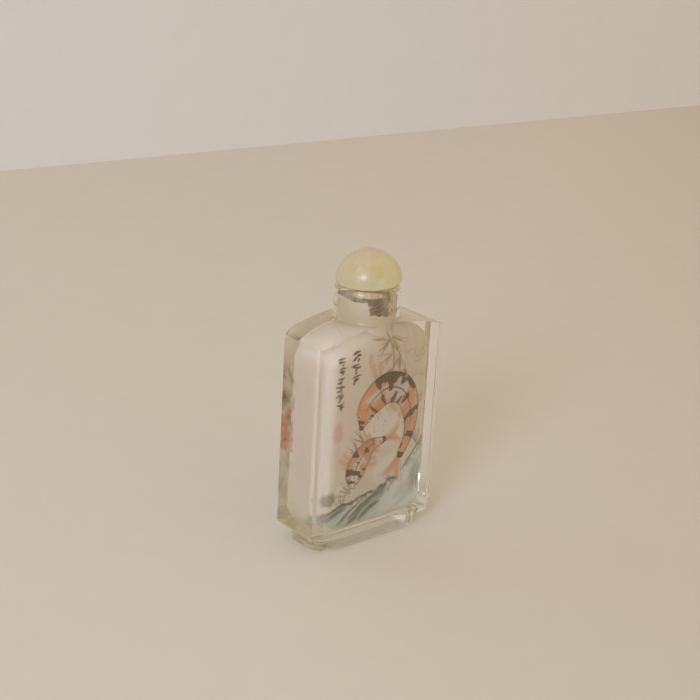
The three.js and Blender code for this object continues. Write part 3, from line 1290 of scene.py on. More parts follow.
@dataclass
class FrontPicture(Panel):
    """Two carp that leap over water-worn rocks under a leafy cliff, with two columns of plain brush marks."""

    shoal: tuple[tuple[Spine, float], ...] = (
        (((-9.0, 19.0), (-7.6, 25.5), (-3.2, 30.6), (2.2, 31.8)), 3.9),
        (
            ((-6.8, 37.4), (-4.4, 43.6), (1.6, 47.8), (8.2, 46.6), (12.0, 40.6), (12.4, 32.4), (9.4, 25.4)),
            5.0,
        ),
    )
    scale_pitch: float = 0.2  # a row of scales, as a share of the girth
    girths: tuple[float, ...] = (0.16, 0.62, 0.86, 0.98, 1.0, 0.97, 0.9, 0.8, 0.68, 0.55, 0.43, 0.33, 0.27)
    foam_strokes: int = 110
    bounds: Way = (-20.4, 19.6, 7.0)  # left, right and lower edge of the painted ground
    shore: Spine = (
        (-22, 11.6), (-15, 13.4), (-9, 15.2), (-3, 15.6), (4, 16.6), (9, 19.4), (13, 23.6), (18, 28.6),
    )

    def paint(self) -> None:
        """Lays the whole picture, back to front."""
        self.sky()
        self.cliff()
        self.spray()
        self.foam()
        self.weeds()
        self.rocks()
        for spine, girth in self.shoal:
            self.carp(spine, girth)
        self.pebble()
        self.marks()
        self.seals()
        self.fade()

    def sky(self) -> None:
        """A warm, cloudy wash, strongest in the middle and bare at the left and the top."""
        x, z = self.position.T
        warm = ease(-18.5, -13, x) * (0.1 + 0.9 * ease(62, 46, z)) * (0.75 + 0.5 * (self.noise(9.0, 1) - 0.5))
        self.wash(warm, PAPER)
        self.wash(0.5 * ease(0.5, 0.85, self.noise(14.0, 2)) * ease(-12, 6, x), TAN_WASH)
        self.wash(0.35 * ease(0.55, 0.8, self.noise(11.0, 3)), CREAM)
        self.blot((-14, 35), (5, 8), ROSE, 0, 0.75, 0.7, 0.3)
        self.wash(ease(61.0, 65.5, z) * 0.7, WHITE)

    def cliff(self) -> None:
        """A pale tan cliff at the upper right, in ragged layers that run down like wet paint."""
        x, z = self.position.T
        runs = cloud(self.position * (1, 0.25), 2.0, 32, 3)
        drip = 2.2 * (self.noise(2.4, 31, 3) - 0.5) + 5.0 * (runs - 0.5)
        uneven = 0.7 + 0.6 * (self.noise(3.0, 33) - 0.3)
        for left, low, tint, strength in (
            (2.5, 50.0, TAN_WASH, 0.55),
            (8.0, 49.0, TAN, 0.45),
            (11.5, 55.0, TAN, 0.5),
            (4.5, 57.0, TAN, 0.35),
        ):
            depth = np.minimum(x - left, z - low) + drip
            inside = ease(-0.25, 0.35, depth)
            edge = np.clip(1 - np.abs(depth - 0.4) / 0.5, 0, 1)
            self.wash(inside * strength * uneven, tint)
            self.wash(edge * 0.35, BROWN)

    def spray(self) -> None:
        """A hanging branch with long pointed leaves."""
        self.stroke([(1.0, 66.5), (3.2, 61.5), (4.4, 56.0), (3.2, 50.5)], 0.5, BROWN)
        self.stroke([(3.2, 61.5), (6.4, 58.0), (8.8, 53.0)], 0.42, BROWN)
        tints = (OCHRE, OCHRE, BROWN, SOFT_INK)
        for root, spread, count in (
            ((2.6, 63.0), (168, 225), 5),
            ((3.8, 58.6), (172, 236), 6),
            ((4.2, 54.0), (190, 262), 6),
            ((6.6, 57.6), (240, 300), 4),
            ((3.0, 64.0), (292, 345), 4),
            ((8.8, 53.4), (230, 285), 4),
        ):
            self.tuft(root, 6.6, spread, count, 0.72, tints, 0.14)

    def foam(self) -> None:
        """White spray between the fish: short pale strokes with fine grey ones among them."""
        self.blot((3.2, 37.0), (7.4, 7.4), WHITE, 20, 1.0, 0.3, 0.3)
        self.blot((4.6, 22.6), (6.4, 3.6), WHITE, 20, 0.9, 0.4, 0.35)
        for _ in range(self.foam_strokes):
            turn = self.random.uniform(0, 2 * math.pi)
            reach = self.random.uniform(0, 1) ** 0.5
            start = np.array([3.2 + 6.8 * reach * math.cos(turn), 36.6 + 7.4 * reach * math.sin(turn)])
            run = np.array([0.45 + 0.4 * math.sin(turn), -1.0]) * self.random.uniform(0.8, 2.0)
            tint = (WHITE, WHITE, SOFT_INK)[self.random.integers(3)]
            self.stroke([start, start + run * (0.55, 0.5), start + run], 0.2, tint, Press.BLADE, 0.7)

    def rocks(self) -> None:
        """Blue-grey rocks along the foot of the picture, higher on the right, with dark ragged edges."""
        x, z = self.position.T
        shore = np.interp(x, *zip(*self.shore))
        depth = shore + 3.2 * (self.noise(4.6, 11, 4) - 0.5) - z
        inside = ease(-0.1, 0.15, depth)
        self.wash(inside, ROCK_BLUE)
        right = ease(-2.0, 6.0, x + 3 * (self.noise(3.0, 16, 2) - 0.5))
        self.wash(inside * right * 0.9, ROCK_LIGHT)
        slant = self.position @ np.array([[0.9, -0.42], [0.42, 0.9]])
        streaks = cloud(slant * (0.28, 1), 1.9, 12, 3)
        self.wash(inside * ease(0.48, 0.6, streaks) * 0.85, ROCK_LIGHT)
        dark = ease(0.56, 0.66, cloud(slant * (0.26, 1), 2.2, 13, 3)) * (1 - 0.8 * right)
        self.wash(inside * dark * 0.9, ROCK_DARK)
        near = ease(4.5, 1.0, depth) * ease(0.4, 0.62, self.noise(2.2, 15, 3)) * (0.85 - 0.3 * right)
        self.wash(inside * near, ROCK_DARK)
        self.blot((15.6, 17.5), (1.7, 4.6), ROCK_DARK, -8, 0.45, 0.6, 0.3)
        rim = np.clip(1 - np.abs(depth - 0.3) / (0.3 + 0.6 * self.noise(1.6, 14, 2)), 0, 1)
        self.wash(rim * 0.95, INK)
        for start, end, width in (
            ((-18.5, 9.6), (-11, 12.6), 0.8),
            ((-14.0, 8.0), (-4.5, 13.6), 1.2),
            ((-9.6, 9.2), (3.4, 15.4), 1.5),
            ((-5.8, 7.8), (2.0, 11.8), 1.5),
            ((17.8, 20.0), (17.2, 12.0), 0.6),
        ):
            middle = ((start[0] + end[0]) / 2 - 0.3, (start[1] + end[1]) / 2 + 0.5)
            self.stroke([start, middle, end], width, ROCK_DARK, Press.LINE, 0.85, 0.3)
            light = [(a - 0.7, b + 1.0) for a, b in (start, middle, end)]
            self.stroke(light, width * 0.4, WHITE, Press.BLADE, 0.8, 0.2)

    def carp(self, spine: Sequence[Point], girth: float) -> None:
        """One carp, seen from above: fins and tail, then the patched and scaled body, then the head.

        Args:
            spine: Points from the nose to the root of the tail.
            girth: Its greatest half width.
        """
        path = smooth_path(spine, 60)
        for share, spread, size in ((0.26, 62, 1.25), (0.6, 48, 0.8)):
            self.fins(path, share, spread, size * girth)
        self.tail(path, girth)
        self.body(path, girth)
        self.stroke(path[8:50:3], 0.07 * girth + 0.12, INK, Press.LINE, 0.8)
        self.head(path, girth)

    def body(self, path: Array, girth: float) -> None:
        """A carp's body: patches of orange and black on cream, rows of scales and a dark outline.

        Args:
            path: The fish's spine.
            girth: Its greatest half width.
        """
        found = self.trace(path, girth + 0.6)
        half = girth * np.interp(found.along, np.linspace(0, 1, len(self.girths)), self.girths)
        side = np.abs(found.aside / half)
        cover = np.clip((half - np.abs(found.aside)) / 0.16 + 0.5, 0, 1)
        run = found.along * np.linalg.norm(np.diff(path, axis=0), axis=1).sum()
        grid = np.stack([run, found.aside], -1)
        self.wash(cover, CREAM, found.chosen)
        patches = cloud(grid, girth * 1.1, self.seed + int(girth * 10), 2)
        patches = patches + 0.14 * ease(0.42, 0.12, found.along)
        self.wash(cover * ease(0.41, 0.47, patches), ORANGE, found.chosen)
        self.wash(cover * ease(0.50, 0.75, patches) * 0.6, DEEP_ORANGE, found.chosen)
        self.wash(cover * ease(0.45, 1.0, side) * 0.55, DEEP_ORANGE, found.chosen)
        spots = cloud(grid * (1.6, 0.7), girth * 0.6, self.seed + int(girth * 20), 2)
        self.wash(cover * ease(0.56, 0.62, spots) * 0.95, INK, found.chosen)

        pitch = girth * self.scale_pitch
        row = np.floor(run / pitch)
        across = found.aside / pitch + 0.5 * (row % 2)
        curve = np.hypot(run / pitch - row - 0.05, (across - np.floor(across) - 0.5) * 1.5)
        rim = np.clip(1 - np.abs(curve - 0.75) / 0.2, 0, 1)
        scaled = ease(0.2, 0.28, found.along) * (1 - ease(0.9, 1.0, found.along)) * (side < 0.9)
        self.wash(cover * rim * scaled * 0.5, BROWN, found.chosen)
        edge = np.clip(1 - np.abs(half - np.abs(found.aside) - 0.1) / 0.2, 0, 1)
        self.wash(edge * 0.9, INK, found.chosen)

    def head(self, path: Array, girth: float) -> None:
        """A carp's eyes, whiskers and gills, one of each to either side.

        Args:
            path: The fish's spine.
            girth: Its greatest half width.
        """
        forward = path[0] - path[3]
        ahead = forward / np.linalg.norm(forward)
        left = leftward(ahead)
        for sign in (-1, 1):
            eye = path[0] - ahead * girth * 0.62 + left * sign * girth * 0.44
            self.blot(eye, (0.13 * girth, 0.13 * girth), CREAM, 0, 1.0, 0.3)
            self.blot(eye, (0.075 * girth, 0.075 * girth), INK, 0, 1.0, 0.3)
            lip = path[0] + left * sign * girth * 0.12
            tip = lip + ahead * girth * 0.3 + left * sign * girth * 0.35
            self.stroke([lip, tip], 0.16, SOFT_INK, Press.BLADE)
            bends = ((0.8, 0.0), (0.5, -0.2), (0.2, 0.0))
            gill = [path[9] + left * sign * girth * wide - ahead * girth * back for wide, back in bends]
            self.stroke(gill, 0.18, BROWN, Press.LINE, 0.8)

    def fins(self, path: Array, share: float, spread: float, size: float) -> None:
        """A pair of side fins, each a fan of fine strokes over a pale wash.

        Args:
            path: The fish's spine.
            share: How far along it they stand.
            spread: Their angle from the spine, in degrees.
            size: Their length.
        """
        index = int(share * (len(path) - 1))
        run = path[index + 1] - path[index]
        run = run / np.linalg.norm(run)
        for sign in (-1, 1):
            for k in np.linspace(-22, 22, 9):
                ahead, aside = heading(sign * (spread + k))
                turned = run * ahead + leftward(run) * aside
                root = path[index] + turned * size * 0.45
                tip = path[index] + turned * size * (1.75 - abs(k) * 0.012)
                middle = (root + tip) / 2 + run * size * 0.06
                tint = ORANGE if int(k) % 2 else CREAM
                self.stroke([root, middle, tip], size * 0.2, tint, Press.EVEN, 0.55, 0.2)
                self.stroke([root, middle, tip], 0.14, SOFT_INK, Press.LINE, 0.6)

    def tail(self, path: Array, girth: float) -> None:
        """The tail: two lobes of fine curved strokes.

        Args:
            path: The fish's spine.
            girth: The fish's greatest half width.
        """
        run = path[-1] - path[-4]
        run = run / np.linalg.norm(run)
        left = leftward(run)
        for k in np.linspace(-1, 1, 15):
            reach = girth * (2.1 - 0.75 * (1 - abs(k)) ** 1.2)
            root = path[-3] + left * k * girth * 0.15
            middle = root + run * reach * 0.5 + left * k * girth * 0.35
            tip = root + run * reach + left * k * girth * 1.05
            tint = ORANGE if abs(k) < 0.7 else CREAM
            self.stroke([root, middle, tip], girth * 0.2, tint, Press.EVEN, 0.7, 0.2)
            self.stroke([root, middle, tip], 0.15, SOFT_INK, Press.LINE, 0.65)

    def weeds(self) -> None:
        """Grass and water weed behind the rocks and the carp."""
        tints = (SOFT_INK, BROWN, GREEN_GREY)
        for place in (
            ((-8.0, 24.0), 6.5, (112, 172), 9, 0.42),
            ((-7.4, 29.0), 6.2, (105, 165), 8, 0.42),
            ((-9.5, 17.0), 6.5, (108, 168), 8, 0.36),
            ((-13.5, 13.5), 5.0, (45, 120), 6, 0.3),
            ((-5.0, 32.0), 6.0, (112, 160), 6, 0.4),
            ((16.0, 27.0), 7.0, (85, 128), 6, 0.4),
            ((5.5, 17.5), 4.0, (75, 135), 6, 0.34),
        ):
            self.tuft(*place, tints, 0.3)

    def marks(self) -> None:
        """Two columns of plain brush dabs in loose clusters, uneven in length and slant, spelling nothing."""
        dabs = ((0.3, 16, 0.95), (0.1, 8, 0.6), (-0.12, 22, 0.8), (-0.34, 62, 0.34))
        for x, top, low, size in ((-15.4, 59.4, 43.6, 2.6), (-9.9, 60.2, 49.8, 3.4)):
            for z, (rise, slope, share) in itertools.product(np.arange(top, low, -1.04 * size), dabs):
                way = heading(slope + self.random.uniform(-14, 14))
                reach = size * share * self.random.uniform(0.75, 1.15)
                shift = self.random.uniform(-0.22, 0.22)
                lift = rise + self.random.uniform(-0.06, 0.06)
                middle = np.array([x + shift * size, z + lift * size])
                run = way * reach / 2
                bow = leftward(run) * self.random.uniform(-0.3, 0.3)
                width = self.random.uniform(0.17, 0.25) * size
                self.stroke([middle - run, middle + bow, middle + run], width, INK, Press.DAB, 0.97)

    def pebble(self) -> None:
        """A dark pebble at the left with a fleck of white spray beside it."""
        self.stroke([(-15.8, 17.6), (-14.4, 19.6), (-12.2, 20.6)], 1.6, WHITE, Press.BLADE, 0.95, 0.3)
        self.blot((-17.6, 16.8), (2.4, 1.9), SOFT_INK, 30, 0.85, 0.3, 0.25)

    def seals(self) -> None:
        """Two soft red blots with a few bare streaks, where a seal would be pressed."""
        for centre, radii in (((-15.6, 37.6), (1.6, 2.9)), ((-4.6, 58.4), (0.9, 2.1))):
            self.blot(centre, radii, SEAL_RED, 0, 0.75, 0.25, 0.3)
            for k in range(-2, 3):
                height = centre[1] + k * radii[1] * 0.34
                ends = [(centre[0] - radii[0] * 0.6, height), (centre[0] + radii[0] * 0.6, height + 0.12)]
                self.stroke(ends, 0.24, PAPER, Press.LINE, 0.7)

    def fade(self) -> None:
        """The bare white ground round the picture's edge."""
        x, z = self.position.T
        left, right, low = self.bounds
        self.bare_rim(np.maximum.reduce([left - x, x - right, low - z]), -0.5, 0.8)
        self.wash(ease(34, 14, z) * ease(-16, -22, x) * 0.4, PALE_GREEN)
        self.wash(ease(66.5, 68.5, z) * (0.8 + 0.4 * self.noise(3.0, 22)), SNUFF)
        self.blot((-4.0, 72.4), (1.2, 2.6), ROSE, 0, 0.8, 0.5, 0.3)


@dataclass
class BackPicture(Panel):
    """Red blossoms on a dark branch over pale grass."""

    bounds: Way = (19.8, 62.5, 6.4)  # side, upper and lower edges of the painted ground

    def paint(self) -> None:
        """Lays the whole picture, back to front."""
        self.sky()
        self.grass()
        self.branch()
        self.blossoms()
        self.fade()

    def sky(self) -> None:
        """A warm, cloudy wash."""
        self.wash(0.4 + 0.3 * self.noise(9.0, 1), PAPER)
        self.wash(0.4 * ease(0.5, 0.8, self.noise(14.0, 2)), CREAM)
        self.blot((13, 50.5), (9, 6), TAN, 0, 0.5, 0.4, 0.4)
        self.blot((14.5, 42.5), (3.0, 3.4), OCHRE, 0, 0.9, 0.08, 0.1)
        self.blot((14.5, 42.5), (2.1, 2.5), BROWN, 0, 0.9, 0.1, 0.1)
        self.blot((14.3, 42.7), (1.2, 1.5), INK, 0, 0.9, 0.15, 0.1)

    def grass(self) -> None:
        """Pale green banks with darker blades."""
        x, z = self.position.T
        crest = 26 + 0.12 * x + 5 * (self.noise(8.0, 4) - 0.5)
        inside = ease(-1.5, 1.0, crest - z)
        self.wash(inside * 0.85, PALE_GREEN)
        self.wash(inside * ease(0.55, 0.7, self.noise(3.0, 5)) * 0.5, GREEN_GREY)
        for root_x in np.linspace(-17, 17, 17):
            root = (root_x, self.random.uniform(9, 22))
            self.tuft(root, 4.2, (55, 125), 5, 0.36, (GREEN_GREY, SOFT_INK), 0.3)

    def branch(self) -> None:
        """A dark bough that climbs across the picture, with twigs and leaves."""
        bough = ((-15, 20), (-8, 30), (-1, 34), (6, 44), (13, 53))
        self.stroke(bough, 1.5, BROWN, Press.LINE, 0.95, 0.3)
        self.stroke(bough, 0.7, INK, Press.LINE, 0.8, 0.3)
        for twig in (
            ((-1, 34), (-5, 42), (-11, 47)),
            ((6, 44), (2, 51), (-4, 55)),
            ((12, 52), (16, 50), (19, 44)),
            ((-8, 30), (-13, 33), (-17, 40)),
            ((6, 44), (12, 42), (18, 36)),
            ((-1, 34), (6, 31), (14, 31)),
        ):
            self.stroke(twig, 0.7, SOFT_INK, Press.BLADE)
            for point in twig[1:]:
                self.tuft(point, 4.0, (0, 320), 7, 0.9, (GREEN_GREY, ROCK_DARK, OCHRE), 0.2, 0.85)

    def blossoms(self) -> None:
        """Round red blossoms, each with five petals, a dark heart and fine stamens."""
        for centre, size in (
            ((16.6, 32.0), 4.6),
            ((10.5, 36.0), 3.0),
            ((-6.0, 43.5), 3.8),
            ((-12.0, 48.0), 3.0),
            ((1.0, 52.0), 3.0),
            ((-14.5, 37.5), 3.6),
            ((12.0, 29.0), 3.2),
            ((-2.0, 33.0), 2.6),
        ):
            turn = self.random.uniform(0, 72)
            for k in range(5):
                angle = turn + 72 * k
                petal = centre + 0.55 * size * heading(angle)
                self.blot(petal, (0.55 * size, 0.45 * size), BLOSSOM_DEEP, angle, 0.95, 0.12)
                self.blot(petal, (0.46 * size, 0.36 * size), BLOSSOM, angle, 0.95, 0.25)
            self.tuft(centre, 0.75 * size, (0, 330), 11, 0.22, (CREAM, BLOSSOM_DEEP), 0.1)
            self.blot(centre, (0.2 * size, 0.2 * size), INK, 0, 0.9, 0.4)

    def fade(self) -> None:
        """The bare white ground round the picture's edge."""
        x, z = self.position.T
        side, high, low = self.bounds
        self.bare_rim(np.maximum.reduce([np.abs(x) - side, z - high, low - z]), -0.4, 0.9)
        self.wash(ease(34, 14, z) * ease(16, 22, x) * 0.4, PALE_GREEN)
        self.wash(ease(66.5, 68.5, z), SNUFF)


@dataclass
class PaintedLining:
    """The etched and painted inside of the glass, as a thin closed skin about the cavity's wall."""

    glass: GlassBottle
    half_thickness: float = 0.035
    front_step: float = 0.25
    corner_step: float = 0.5
    back_step: float = 0.38
    row_step: float = 0.275
    edge_rows: int = 40
    inner_rows: Sequence[int] = (5, 10)  # on the cavity's side, down the walls and over the ceiling
    bore_rows: int = 8
    top: float = 74.8
    bore_foot: float = 68.6

    def plan(self) -> Array:
        """The cavity's plan with its points closest together on the front face.

        Returns:
            The plan's points, anticlockwise from the middle of the front face.
        """
        dense = rounded_outline(box_corners(*self.glass.cavity_size()), self.glass.cavity_corner, 0.05, 200)
        start = np.argmin(np.where(dense[:, 1] < 0, np.abs(dense[:, 0]), np.inf))
        dense = np.roll(dense, -start, 0)
        run = np.concatenate([[0], np.cumsum(np.linalg.norm(np.diff(dense, axis=0), axis=1))])
        flat = self.glass.cavity_size()[0] / 2 - self.glass.cavity_corner
        wanted = np.full(len(dense), self.corner_step)
        wanted[(dense[:, 1] < 0) & (np.abs(dense[:, 0]) < flat + 3)] = self.front_step
        wanted[(dense[:, 1] > 0) & (np.abs(dense[:, 0]) < flat)] = self.back_step
        density = np.concatenate([[0], np.cumsum(np.diff(run) / wanted[1:])])
        count = int(density[-1])
        place = np.interp(np.linspace(0, density[-1], count, endpoint=False), density, run)
        return np.stack([np.interp(place, run, dense[:, k]) for k in (0, 1)], -1)

    def across(self, plan: Array) -> Array:
        """Each column's distance round the plan from the middle of its own face, to the right as it is seen.

        Args:
            plan: The cavity's plan, anticlockwise from the middle of the front face.

        Returns:
            One distance for each column.
        """
        closed = np.concatenate([plan, plan[:1]])
        run = np.concatenate([[0], np.cumsum(np.linalg.norm(np.diff(closed, axis=0), axis=1))])
        total, run = run[-1], run[:-1]
        front = np.where(run > total / 2, run - total, run)
        return np.where(plan[:, 1] < 0, front, run - total / 2)

    def build(self) -> bpy.types.Object:
        """Makes the lining with its picture.

        Returns:
            The lining piece.
        """
        glass = self.glass
        plan = self.plan()
        bearings = np.arctan2(plan[:, 1], plan[:, 0])
        height = glass.shoulder_apex - glass.floor_height
        down = column(np.linspace(self.top, self.bore_foot, self.bore_rows))
        bore = rings(circle(glass.bore_radius, bearings), down)
        wall = glass.cavity(bearings, plan, int(height / self.row_step), self.edge_rows)[1:]
        wall = np.concatenate([bore, wall])
        coarse = np.concatenate([bore, glass.cavity(bearings, plan, *self.inner_rows)[1:]])
        stack = np.concatenate([self.offset(coarse, -1)[::-1], self.offset(wall, 1)])
        piece = ring_object("painted_lining", stack)
        colours = np.empty((len(piece.data.vertices), 4))
        colours[:] = (*GROUND, 1)
        painted = len(coarse) * len(plan)
        inwards = (wall[..., 0] - plan[:, 0]) * np.where(plan[:, 1] < 0, 1, -1)
        across = self.across(plan) + inwards
        for picture, side in ((FrontPicture, plan[:, 1] < 0), (BackPicture, plan[:, 1] >= 0)):
            chosen = np.broadcast_to(side, wall.shape[:2]).ravel()
            place = np.stack([across.ravel()[chosen], wall[..., 2].ravel()[chosen]], -1)
            panel = picture(place, np.tile(np.array(GROUND), (len(place), 1)), 5)
            panel.paint()
            rows = painted + np.flatnonzero(chosen)
            colours[rows, :3] = panel.colour
        finish = PaintedGround()
        layer = piece.data.color_attributes.new(finish.attribute, "FLOAT_COLOR", "POINT")
        layer.data.foreach_set("color", colours.ravel())
        return dress(piece, finish)

    def offset(self, stack: Array, side: int) -> Array:
        """Moves rings off the cavity's wall, along the normals of the ring grid.

        Args:
            stack: Rings from the top down.
            side: 1 for into the glass, -1 for into the cavity.

        Returns:
            The moved rings.
        """
        around = np.roll(stack, -1, 1) - np.roll(stack, 1, 1)
        down = np.gradient(stack, axis=0)
        return stack + side * self.half_thickness * unit(np.cross(down, around))


# ---- the stopper --------------------------------------------------------------------------------


@dataclass
class StoneCap:
    """The polished domed cap, a little lower than a half ball, which sits slightly askew."""

    radius: float = 9.65
    height: float = 9.395
    edge: float = 0.5
    seat: float = 79.1
    shift: float = 0.25
    tilt: float = math.radians(4)
    uneven: float = 0.05
    uneven_size: float = 5.0
    even_foot: float = 0.2  # up to this height the cap is truly round
    around: int = 160

    def to_place(self, points: Array) -> Array:
        """Turns the cap about Y by its tilt and moves it to its seat.

        Args:
            points: Points of the cap's own frame.

        Returns:
            The points in place.
        """
        c, s = math.cos(self.tilt), math.sin(self.tilt)
        x, y, z = points[..., 0], points[..., 1], points[..., 2]
        return np.stack([c * x - s * z + self.shift, y, s * x + c * z + self.seat], -1)

    def build(self) -> bpy.types.Object:
        """Makes the cap as rings from the middle of its flat underside, round its edge and up the dome.

        Returns:
            The cap piece.
        """
        bearings = np.linspace(0, 2 * math.pi, self.around, endpoint=False)
        turn = np.linspace(-QUARTER, 0, 7)
        rise = np.linspace(0, QUARTER, 50)[1:-1]
        foot = self.radius - self.edge
        reach = column(2.0, 6.0, foot - 0.4, foot + self.edge * np.cos(turn), self.radius * np.cos(rise))
        dome = self.edge + (self.height - self.edge) * np.sin(rise)
        height = column(0, 0, 0, self.edge * (1 + np.sin(turn)), dome)
        stack = rings(circle(reach, bearings[None]), height)
        uneven = self.uneven * (cloud(stack, self.uneven_size, 3, 2) - 0.5)
        stack[..., :2] *= 1 + (uneven * (stack[..., 2] > self.even_foot) / self.radius)[..., None]
        return dress(ring_object("stone_cap", self.to_place(stack)), PaleStone(), "stopper_cap")


@dataclass
class CorkPlug:
    """The broken cork in the bore, with a spread, glued head that holds the cap."""

    cap: StoneCap
    lip_top: float
    radius: float = 5.58
    length: float = 8.1
    stub: float = 3.8
    break_turn: float = math.radians(-41)
    break_offset: float = 0.4
    ragged: float = 2.0
    ragged_size: float = 2.0
    skirt: Spine = ((5.6, 0.0), (6.2, 0.03), (6.9, 0.04), (7.1, 0.1), (7.2, 0.25), (7.2, 0.4))
    lid: tuple[float, ...] = (7.1, 6.0, 3.0)
    wobble: float = 0.05
    sunk: float = 0.02  # how far the cap's underside is pressed into the lid
    around: int = 200

    def underside(self, x: Array, y: Array) -> Array:
        """The height of the broken end: a ragged step from the crumbled half to the whole half.

        Args:
            x, y: The plan's coordinates.

        Returns:
            The height there.
        """
        across = math.cos(self.break_turn) * x + math.sin(self.break_turn) * y - self.break_offset
        ragged = cloud(np.stack([x, y], -1), self.ragged_size, 8, 3) - 0.5
        whole = ease(-0.5, 0.5, across + 2.6 * ragged)
        return self.lip_top - self.stub - (self.length - self.stub) * whole + self.ragged * ragged

    def build(self) -> bpy.types.Object:
        """Makes the cork as rings: the broken end, the crumbly side, the head's skirt and its slanting top.

        Returns:
            The cork piece.
        """
        bearings = np.linspace(0, 2 * math.pi, self.around, endpoint=False)
        share = np.linspace(0.04, 0.96, 26)[:, None]
        end = circle(self.radius * share, bearings[None])
        parts = [rings(end, self.underside(end[..., 0], end[..., 1]))]
        rim = circle(self.radius, bearings)
        low = self.underside(rim[:, 0], rim[:, 1]) + 0.25
        climb = np.linspace(0, 1, 36)[:, None]
        parts.append(rings(rim, low + climb * (self.lip_top - 0.2 - low)))
        reach, rise = (column(*values) for values in zip(*self.skirt))
        wobble = 1 + self.wobble * (cloud(rings(rim, 0.0)[0], 2.5, 9, 2) - 0.5)
        parts.append(rings(circle(reach * wobble, bearings[None]), self.lip_top + rise))
        top = circle(column(*self.lid) * wobble, bearings[None])
        slant = math.tan(self.cap.tilt) * (top[..., 0] - self.cap.shift)
        parts.append(rings(top, self.cap.seat + slant - self.sunk))
        return dress(ring_object("cork_plug", np.concatenate(parts)), DarkCork(), "stopper_cork")


# ---- the studio ---------------------------------------------------------------------------------


@dataclass(frozen=True)
class SoftLight:
    """A soft round light that faces the bottle from a bearing and a height."""

    name: str
    bearing: float  # degrees, as the camera's
    elevation: float  # degrees
    distance: float  # metres
    size: float  # metres
    power: float  # watts
    tint: Colour = (0.6, 0.75, 1.0)


def back_direction(bearing: float, elevation: float) -> Vector:
    """The unit vector from the bottle towards a bearing and an elevation in degrees, -Y being bearing 0.

    Args:
        bearing: Degrees about Z.
        elevation: Degrees above the floor.

    Returns:
        The direction.
    """
    a, e = math.radians(bearing), math.radians(elevation)
    return Vector((math.sin(a) * math.cos(e), -math.cos(a) * math.cos(e), math.sin(e)))


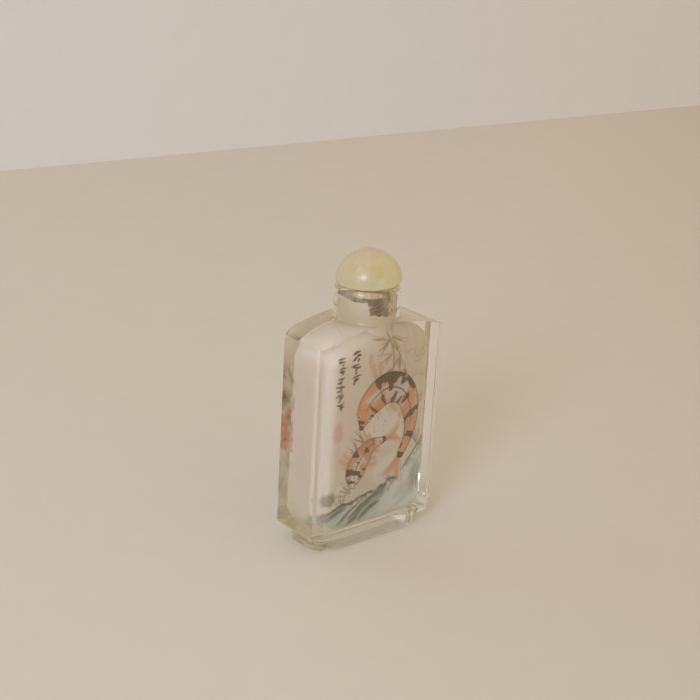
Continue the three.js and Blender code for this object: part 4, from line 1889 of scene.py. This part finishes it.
@dataclass
class Studio:
    """The pale floor and wall, the soft lights, the room's glow and the camera."""

    bearing: float = -41.36
    elevation: float = 19.7
    roll: float = 3.33
    distance: float = 0.4593
    lens: float = 77.1
    aim: Vector = field(default_factory=lambda: Vector((0.00897, 0.01638, 0.05089)))
    wall_gap: float = 471.5
    wall_turn: float = math.radians(-4.3)
    sensor: float = 36.0
    clip: Point = (0.01, 20.0)
    bounces: tuple[tuple[str, int], ...] = (
        ("max", 64),
        ("diffuse", 32),
        ("glossy", 32),
        ("transmission", 48),
    )
    wall_height: float = 1500.0
    bend: float = 0.6  # radius of the curve between the floor and the wall
    floor_reach: float = 3000.0
    floor_near: float = 300.0  # where a row of points divides the floor in front
    floor_gap: float = 0.03
    floor_tint: Colour = (0.765, 0.753, 0.72)
    floor_shade: Colour = (0.71, 0.685, 0.64)
    shade_side: Way = (0.6, -0.8, 0.0)  # the way in which the painted shade darkens the floor
    shade_reach: float = 160.0
    wall_tint: Colour = (0.84, 0.86, 0.92)
    room_glow: Colour = (1.0, 0.79, 0.53)
    room_strength: Point = (0.62, 0.74)  # at the horizon and straight above
    middle: Vector = field(default_factory=lambda: Vector((0, 0, 0.045)))
    lights: tuple[SoftLight, ...] = (
        SoftLight("key", -62.0, 25.0, 1.5, 0.5, 7.5),
        SoftLight("window", 1.0, 8.0, 1.4, 0.2, 0.8),
    )

    def make_backdrop(self) -> None:
        """The floor and the wall behind, as one sheet that turns up in a small curve."""
        turn = np.linspace(0, QUARTER, 4)
        curve = self.wall_gap - self.bend + self.bend * np.sin(turn)
        run = np.concatenate([[-self.floor_reach, -self.floor_near], curve, [self.wall_gap]])
        rise = np.concatenate([[0, 0], self.bend * (1 - np.cos(turn)), [self.wall_height]]) - self.floor_gap
        side = np.linspace(-self.floor_reach, self.floor_reach, 9)
        c, s = math.cos(self.wall_turn), math.sin(self.wall_turn)
        x = side[None, :] * c - run[:, None] * s
        y = side[None, :] * s + run[:, None] * c
        z = np.broadcast_to(rise[:, None], x.shape)
        backdrop = grid_object("backdrop", np.stack([x, y, z], -1))
        backdrop.data.materials.append(new_material("backdrop_paper", self.paper))

    def paper(self, recipe: Recipe) -> dict[str, Any]:
        """The backdrop's sockets: matt paper, a little lighter on the wall, with a painted shade that darkens
        the floor towards the front right, and the faintest mottle.

        Args:
            recipe: The backdrop's tree.

        Returns:
            The values and signals of its sockets.
        """
        where = recipe.place()
        # Painted shade: the floor goes from floor_tint to floor_shade towards the front right.
        painted_shade_run = recipe.along(where, self.shade_side)
        floor = recipe.mix(recipe.level(painted_shade_run, 0.0, self.shade_reach), self.floor_tint, self.floor_shade)
        base = recipe.mix(recipe.level(recipe.axis(where, "Z"), 0.1, 0.5), floor, self.wall_tint)
        mottle = recipe.ramp(recipe.noise(where, 14.0), [(0.3, (0.985,) * 3), (0.7, (1.0,) * 3)])
        return {
            "Base Color": recipe.mix(1.0, base, mottle, "MULTIPLY"),
            "Roughness": 0.85,
            "Specular IOR Level": 0.2,
        }

    def make_lights(self) -> None:
        """The soft lights, each turned to face the bottle's middle."""
        for light in self.lights:
            lamp = bpy.data.lights.new(light.name, "AREA")
            lamp.shape = "DISK"
            lamp.size = light.size
            lamp.energy = light.power
            lamp.color = light.tint
            holder = bpy.data.objects.new(light.name, lamp)
            direction = back_direction(light.bearing, light.elevation)
            holder.location = self.middle + direction * light.distance
            holder.rotation_euler = (-direction).to_track_quat("-Z", "Y").to_euler()
            bpy.context.scene.collection.objects.link(holder)

    def make_room(self) -> None:
        """The room's glow: bright above, duller towards and below the horizon."""
        world = bpy.data.worlds.new("room")
        world.use_nodes = True
        bpy.context.scene.world = world
        recipe = Recipe(world.node_tree)
        direction = recipe.node("ShaderNodeTexCoord", {}, {}, "Generated")
        glow = recipe.level(recipe.axis(direction, "Z"), 0.0, 1.0, *self.room_strength)
        light = recipe.node("ShaderNodeBackground", {}, {"Color": self.room_glow, "Strength": glow})
        recipe.node("ShaderNodeOutputWorld", {}, {"Surface": light})

    def make_camera(self) -> None:
        """The camera, which looks at its aim from its bearing and elevation, rolled a little."""
        data = bpy.data.cameras.new("camera")
        data.sensor_width = self.sensor
        data.lens = self.lens
        data.clip_start, data.clip_end = self.clip
        camera = bpy.data.objects.new("camera", data)
        back = back_direction(self.bearing, self.elevation)
        right = Vector((math.cos(math.radians(self.bearing)), math.sin(math.radians(self.bearing)), 0))
        up = back.cross(right)
        turn = math.radians(self.roll)
        rolled = math.cos(turn) * right + math.sin(turn) * up
        upright = math.cos(turn) * up - math.sin(turn) * right
        place = Matrix((rolled, upright, back)).transposed().to_4x4()
        place.translation = self.aim + back * self.distance
        camera.matrix_world = place
        bpy.context.scene.collection.objects.link(camera)
        bpy.context.scene.camera = camera

    def build(self) -> None:
        """Sets the whole studio up, with colours shown as they are."""
        scene = bpy.context.scene
        scene.view_settings.view_transform = "Standard"
        scene.cycles.blur_glossy = 0.0
        for kind, count in self.bounces:
            setattr(scene.cycles, f"{kind}_bounces", count)
        self.make_backdrop()
        self.make_lights()
        self.make_room()
        self.make_camera()


# ---- everything ---------------------------------------------------------------------------------


def report(piece: bpy.types.Object) -> None:
    """Logs a piece's name, faces and size."""
    size = ", ".join(f"{x / MM:.1f}" for x in piece.dimensions)
    LOG.info("%s: %d faces, %s mm", piece.name, len(piece.data.polygons), size)


def main() -> None:
    """Builds the studio and every piece."""
    logging.basicConfig(level=logging.INFO, format="%(name)s %(message)s")
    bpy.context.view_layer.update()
    Studio().build()
    glass = GlassBottle()
    report(glass.build())
    report(PaintedLining(glass).build())
    cap = StoneCap()
    report(cap.build())
    report(CorkPlug(cap, glass.lip_top).build())


if __name__ == "__main__":
    main()
